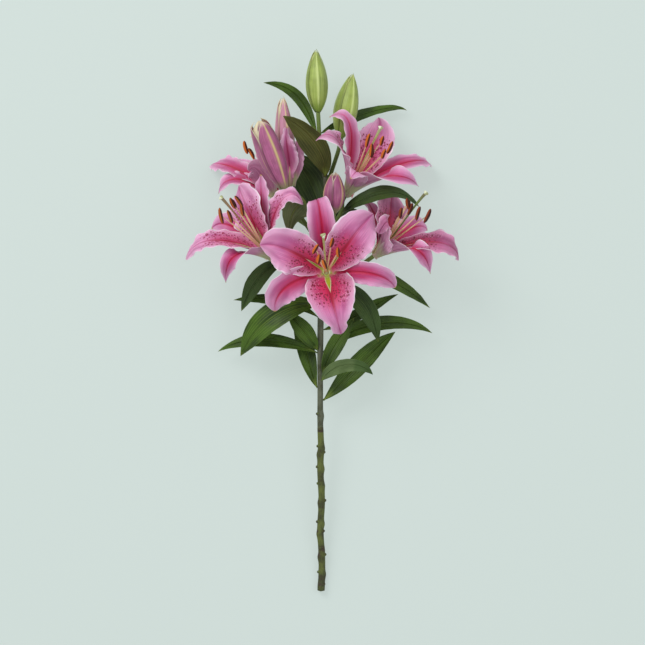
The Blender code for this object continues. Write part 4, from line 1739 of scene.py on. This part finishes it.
BUDS: tuple[Bud, ...] = (
    Bud("bud_top", (-4, 650, 62), (-7, 734, 64), 29, -14, BUD_GREEN, "green_bud"),
    Bud("bud_right", (27, 616, 52), (43, 702, 54), 31, 10, BUD_GREEN, "green_bud"),
    Bud("bud_large", (-47, 541, 88), (-84, 637, 108), 34, 0, BUD_PINK, "pink_bud", 0.26, 2.8),
    Bud("bud_behind", (-44, 541, 58), (-52, 670, 56), 26, 0, BUD_BLUSH, "pink_bud", 0.10, 0.4, (
        ((-38, 551, 58), (-30, 575, 62), (-36, 605, 68), (-26, 615, 66), 20),
        ((-42, 562, 64), (-42, 590, 76), (-50, 614, 80), (-46, 630, 70), 27)), 0.35, Kind.WIDE),
    Bud("bud_small", (17, 513, 84), (19, 568, 88), 28, 30, BUD_PINK, "pink_bud", 0.03, 0.8),
)

LEAVES: tuple[Leaf, ...] = (
    Leaf("leaf_01", "stem", 262, 0, (26, 279, 38), (68, 332, 46), (101, 354, 22), 29),
    Leaf("leaf_02", "stem", 277, 190, (-14, 293, 36), (-20, 343, 26), (-39, 379, 24), 24),
    Leaf("leaf_03", "stem", 288, 60, (11, 308, 74), (49, 321, 82), (70, 296, 58), 20, Skin.PALE),
    Leaf("leaf_04", "stem", 297, 40, (8, 313, 58), (16, 336, 56), (45, 373, 46), 23),
    Leaf("leaf_05", "stem", 325, 180, (-35, 339, 54), (-96, 355, 46), (-140, 327, 22), 20),
    Leaf("leaf_06", "stem", 327, 330, (32, 362, 36), (104, 382, 46), (151, 352, 28), 21),
    Leaf("leaf_07", "stem", 329, 140, (-16, 347, 58), (-28, 363, 60), (-46, 381, 54), 24),
    Leaf("leaf_08", "stem", 355, 315, (32, 362, 22), (72, 393, 26), (105, 405, 22), 18),
    Leaf("leaf_09", "stem", 373, 215, (-35, 397, 30), (-80, 402, 36), (-119, 397, 24), 16),
    Leaf("leaf_10", "stem", 389, 150, (-24, 394, 72), (-77, 387, 90), (-109, 321, 44), 39),
    Leaf("leaf_11", "stem", 397, 20, (32, 424, 66), (68, 402, 84), (77, 340, 54), 30, Skin.DEEP),
    Leaf("leaf_12", "bloom_left", 0.72, 250, (-66, 448, 50), (-86, 437, 58), (-108, 382, 38), 25,
         Skin.DEEP),
    Leaf("leaf_13", "stem", 437, 330, (39, 446, 40), (94, 435, 52), (148, 386, 28), 21),
    Leaf("leaf_14", "bloom_left", 0.62, 90, (-43, 481, 84), (-51, 516, 110), (-20, 529, 96), 36,
         Skin.GREY, kind=Kind.STALKED),
    Leaf("leaf_15", "stem", 491, 285, (18, 501, 30), (35, 516, 34), (58, 513, 38), 26, Skin.DEEP),
    Leaf("leaf_16", "stem", 505, 250, (-3, 532, 26), (-19, 589, 13), (-54, 589, 12), 52, Skin.DEEP),
    Leaf("leaf_17", "bloom_upper_right", 0.62, 60, (42, 526, 96), (99, 563, 104), (132, 522, 80),
         24, Skin.DEEP),
    Leaf("leaf_18", "stem", 563, 95, (9, 585, 72), (-9, 620, 92), (-51, 644, 92), 39, Skin.OLIVE),
    Leaf("leaf_19", "stem", 622, 300, (20, 634, 24), (92, 670, 14), (117, 655, 14), 17),
    Leaf("leaf_20", "stem", 621, 170, (-15, 643, 46), (-24, 690, 42), (-78, 691, 46), 16),
)


# ---------------------------------------------------------------- studio

FLOWER = np.array([0, 0.1, 0.05])   # what the lamps look at, in metres


@dataclass(frozen=True)
class Lamp:
    """A soft square lamp that looks at the middle of the flower."""

    name: str
    place: Point
    size: float
    power: float
    colour: Colour = (1.0, 1.0, 1.0)

    def build(self) -> None:
        """Hang the lamp and turn it to the flower."""
        bpy.ops.object.light_add(type="AREA", location=self.place)
        made = bpy.context.object
        made.name = f"lamp_{self.name}"
        made.data.size = self.size
        made.data.energy = self.power
        made.data.color = self.colour
        x, y, z = np.array(self.place) - FLOWER
        made.rotation_euler = (math.atan2(math.hypot(x, y), z), 0, math.atan2(x, -y))


@dataclass
class Studio:
    """Pale floor, soft lamps and a camera that looks straight down from far away."""

    height: float = 6.0
    view_width: float = 0.871
    view_level: float = 0.06
    centre: tuple[float, float] = (0.003, -0.0003)
    sensor: float = 36.0
    ambient: float = 0.58
    lamps: tuple[Lamp, ...] = (
        Lamp("key", (-1.9, 2.1, 2.6), 2.0, 72.0, (1.0, 0.99, 0.97)),
        Lamp("fill", (2.3, 0.6, 2.8), 2.4, 22.0, (0.97, 0.99, 1.0)),
        Lamp("low", (0.2, -2.8, 2.2), 2.2, 10.0, (1.0, 1.0, 1.0)),
    )

    def build(self) -> None:
        """Put up the floor, the lamps, the sky and the camera."""
        bpy.ops.mesh.primitive_plane_add(size=14.0, location=(0, 0, 0))
        floor = bpy.context.object
        floor.name = "floor"
        board = Board("pale_floor")
        floor.data.materials.append(board.finish(FLOOR, 0.9, Specular_IOR_Level=0.1,
                                                 Emission_Color=GLOW, Emission_Strength=1.0))
        for lamp in self.lamps:
            lamp.build()
        world = bpy.data.worlds.new("studio")
        bpy.context.scene.world = world
        world.use_nodes = True
        sky = world.node_tree.nodes["Background"]
        sky.inputs["Color"].default_value = (*SKY, 1.0)
        sky.inputs["Strength"].default_value = self.ambient
        bpy.ops.object.camera_add(location=(*self.centre, self.height + self.view_level),
                                  rotation=(0, 0, 0))
        camera = bpy.context.object
        camera.name = "camera"
        camera.data.sensor_width = self.sensor
        camera.data.lens = self.sensor * self.height / self.view_width
        camera.data.clip_end = 40.0
        bpy.context.scene.camera = camera
        bpy.context.scene.view_settings.view_transform = "Standard"


def leaf_source(leaf: Leaf, stem: Stem, stalks: dict[str, np.ndarray]) -> tuple:
    """Find what a leaf grows from.

    Args:
        leaf: the leaf.
        stem: the stem.
        stalks: middle lines of the stalks by name.

    Returns:
        The middle line, the radius at each of its points, and the leaf's row on it.
    """
    if leaf.source == "stem":
        line = stem.middle()
        return line[:, :3], line[:, 3], int(np.abs(line[:, 1] - leaf.place).argmin())
    line = stalks[leaf.source]
    radii = np.full(len(line), stem.stalk_radius * stem.stalk_spread)
    return line, radii, int(leaf.place * (len(line) - 1))


def main() -> None:
    """Load the solids, grow every piece in their place and light them."""
    logging.basicConfig(level=logging.INFO, format="%(message)s")
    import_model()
    deselect()
    palette, stem = Palette(), Stem()
    stalks = {}
    for bloom in BLOOMS:
        stalks[bloom.name] = stem.stalk_line(bloom.name, *bloom.way(),
                                             bloom.below - stem.into_bloom)
    for bud in BUDS:
        if bud.name in stem.stalks:
            stalks[bud.name] = stem.stalk_line(bud.name, np.array(bud.base, float),
                                               bud.facing(), -stem.into_bud)
    stem.build(stalks, palette)
    for bloom in BLOOMS:
        bloom.build_tepals(palette)
        bloom.build_stamens(palette)
    for bud in BUDS:
        bud.build(palette)
    for leaf in LEAVES:
        leaf.build(*leaf_source(leaf, stem, stalks), palette)
    Studio().build()


if __name__ == "__main__":
    main()
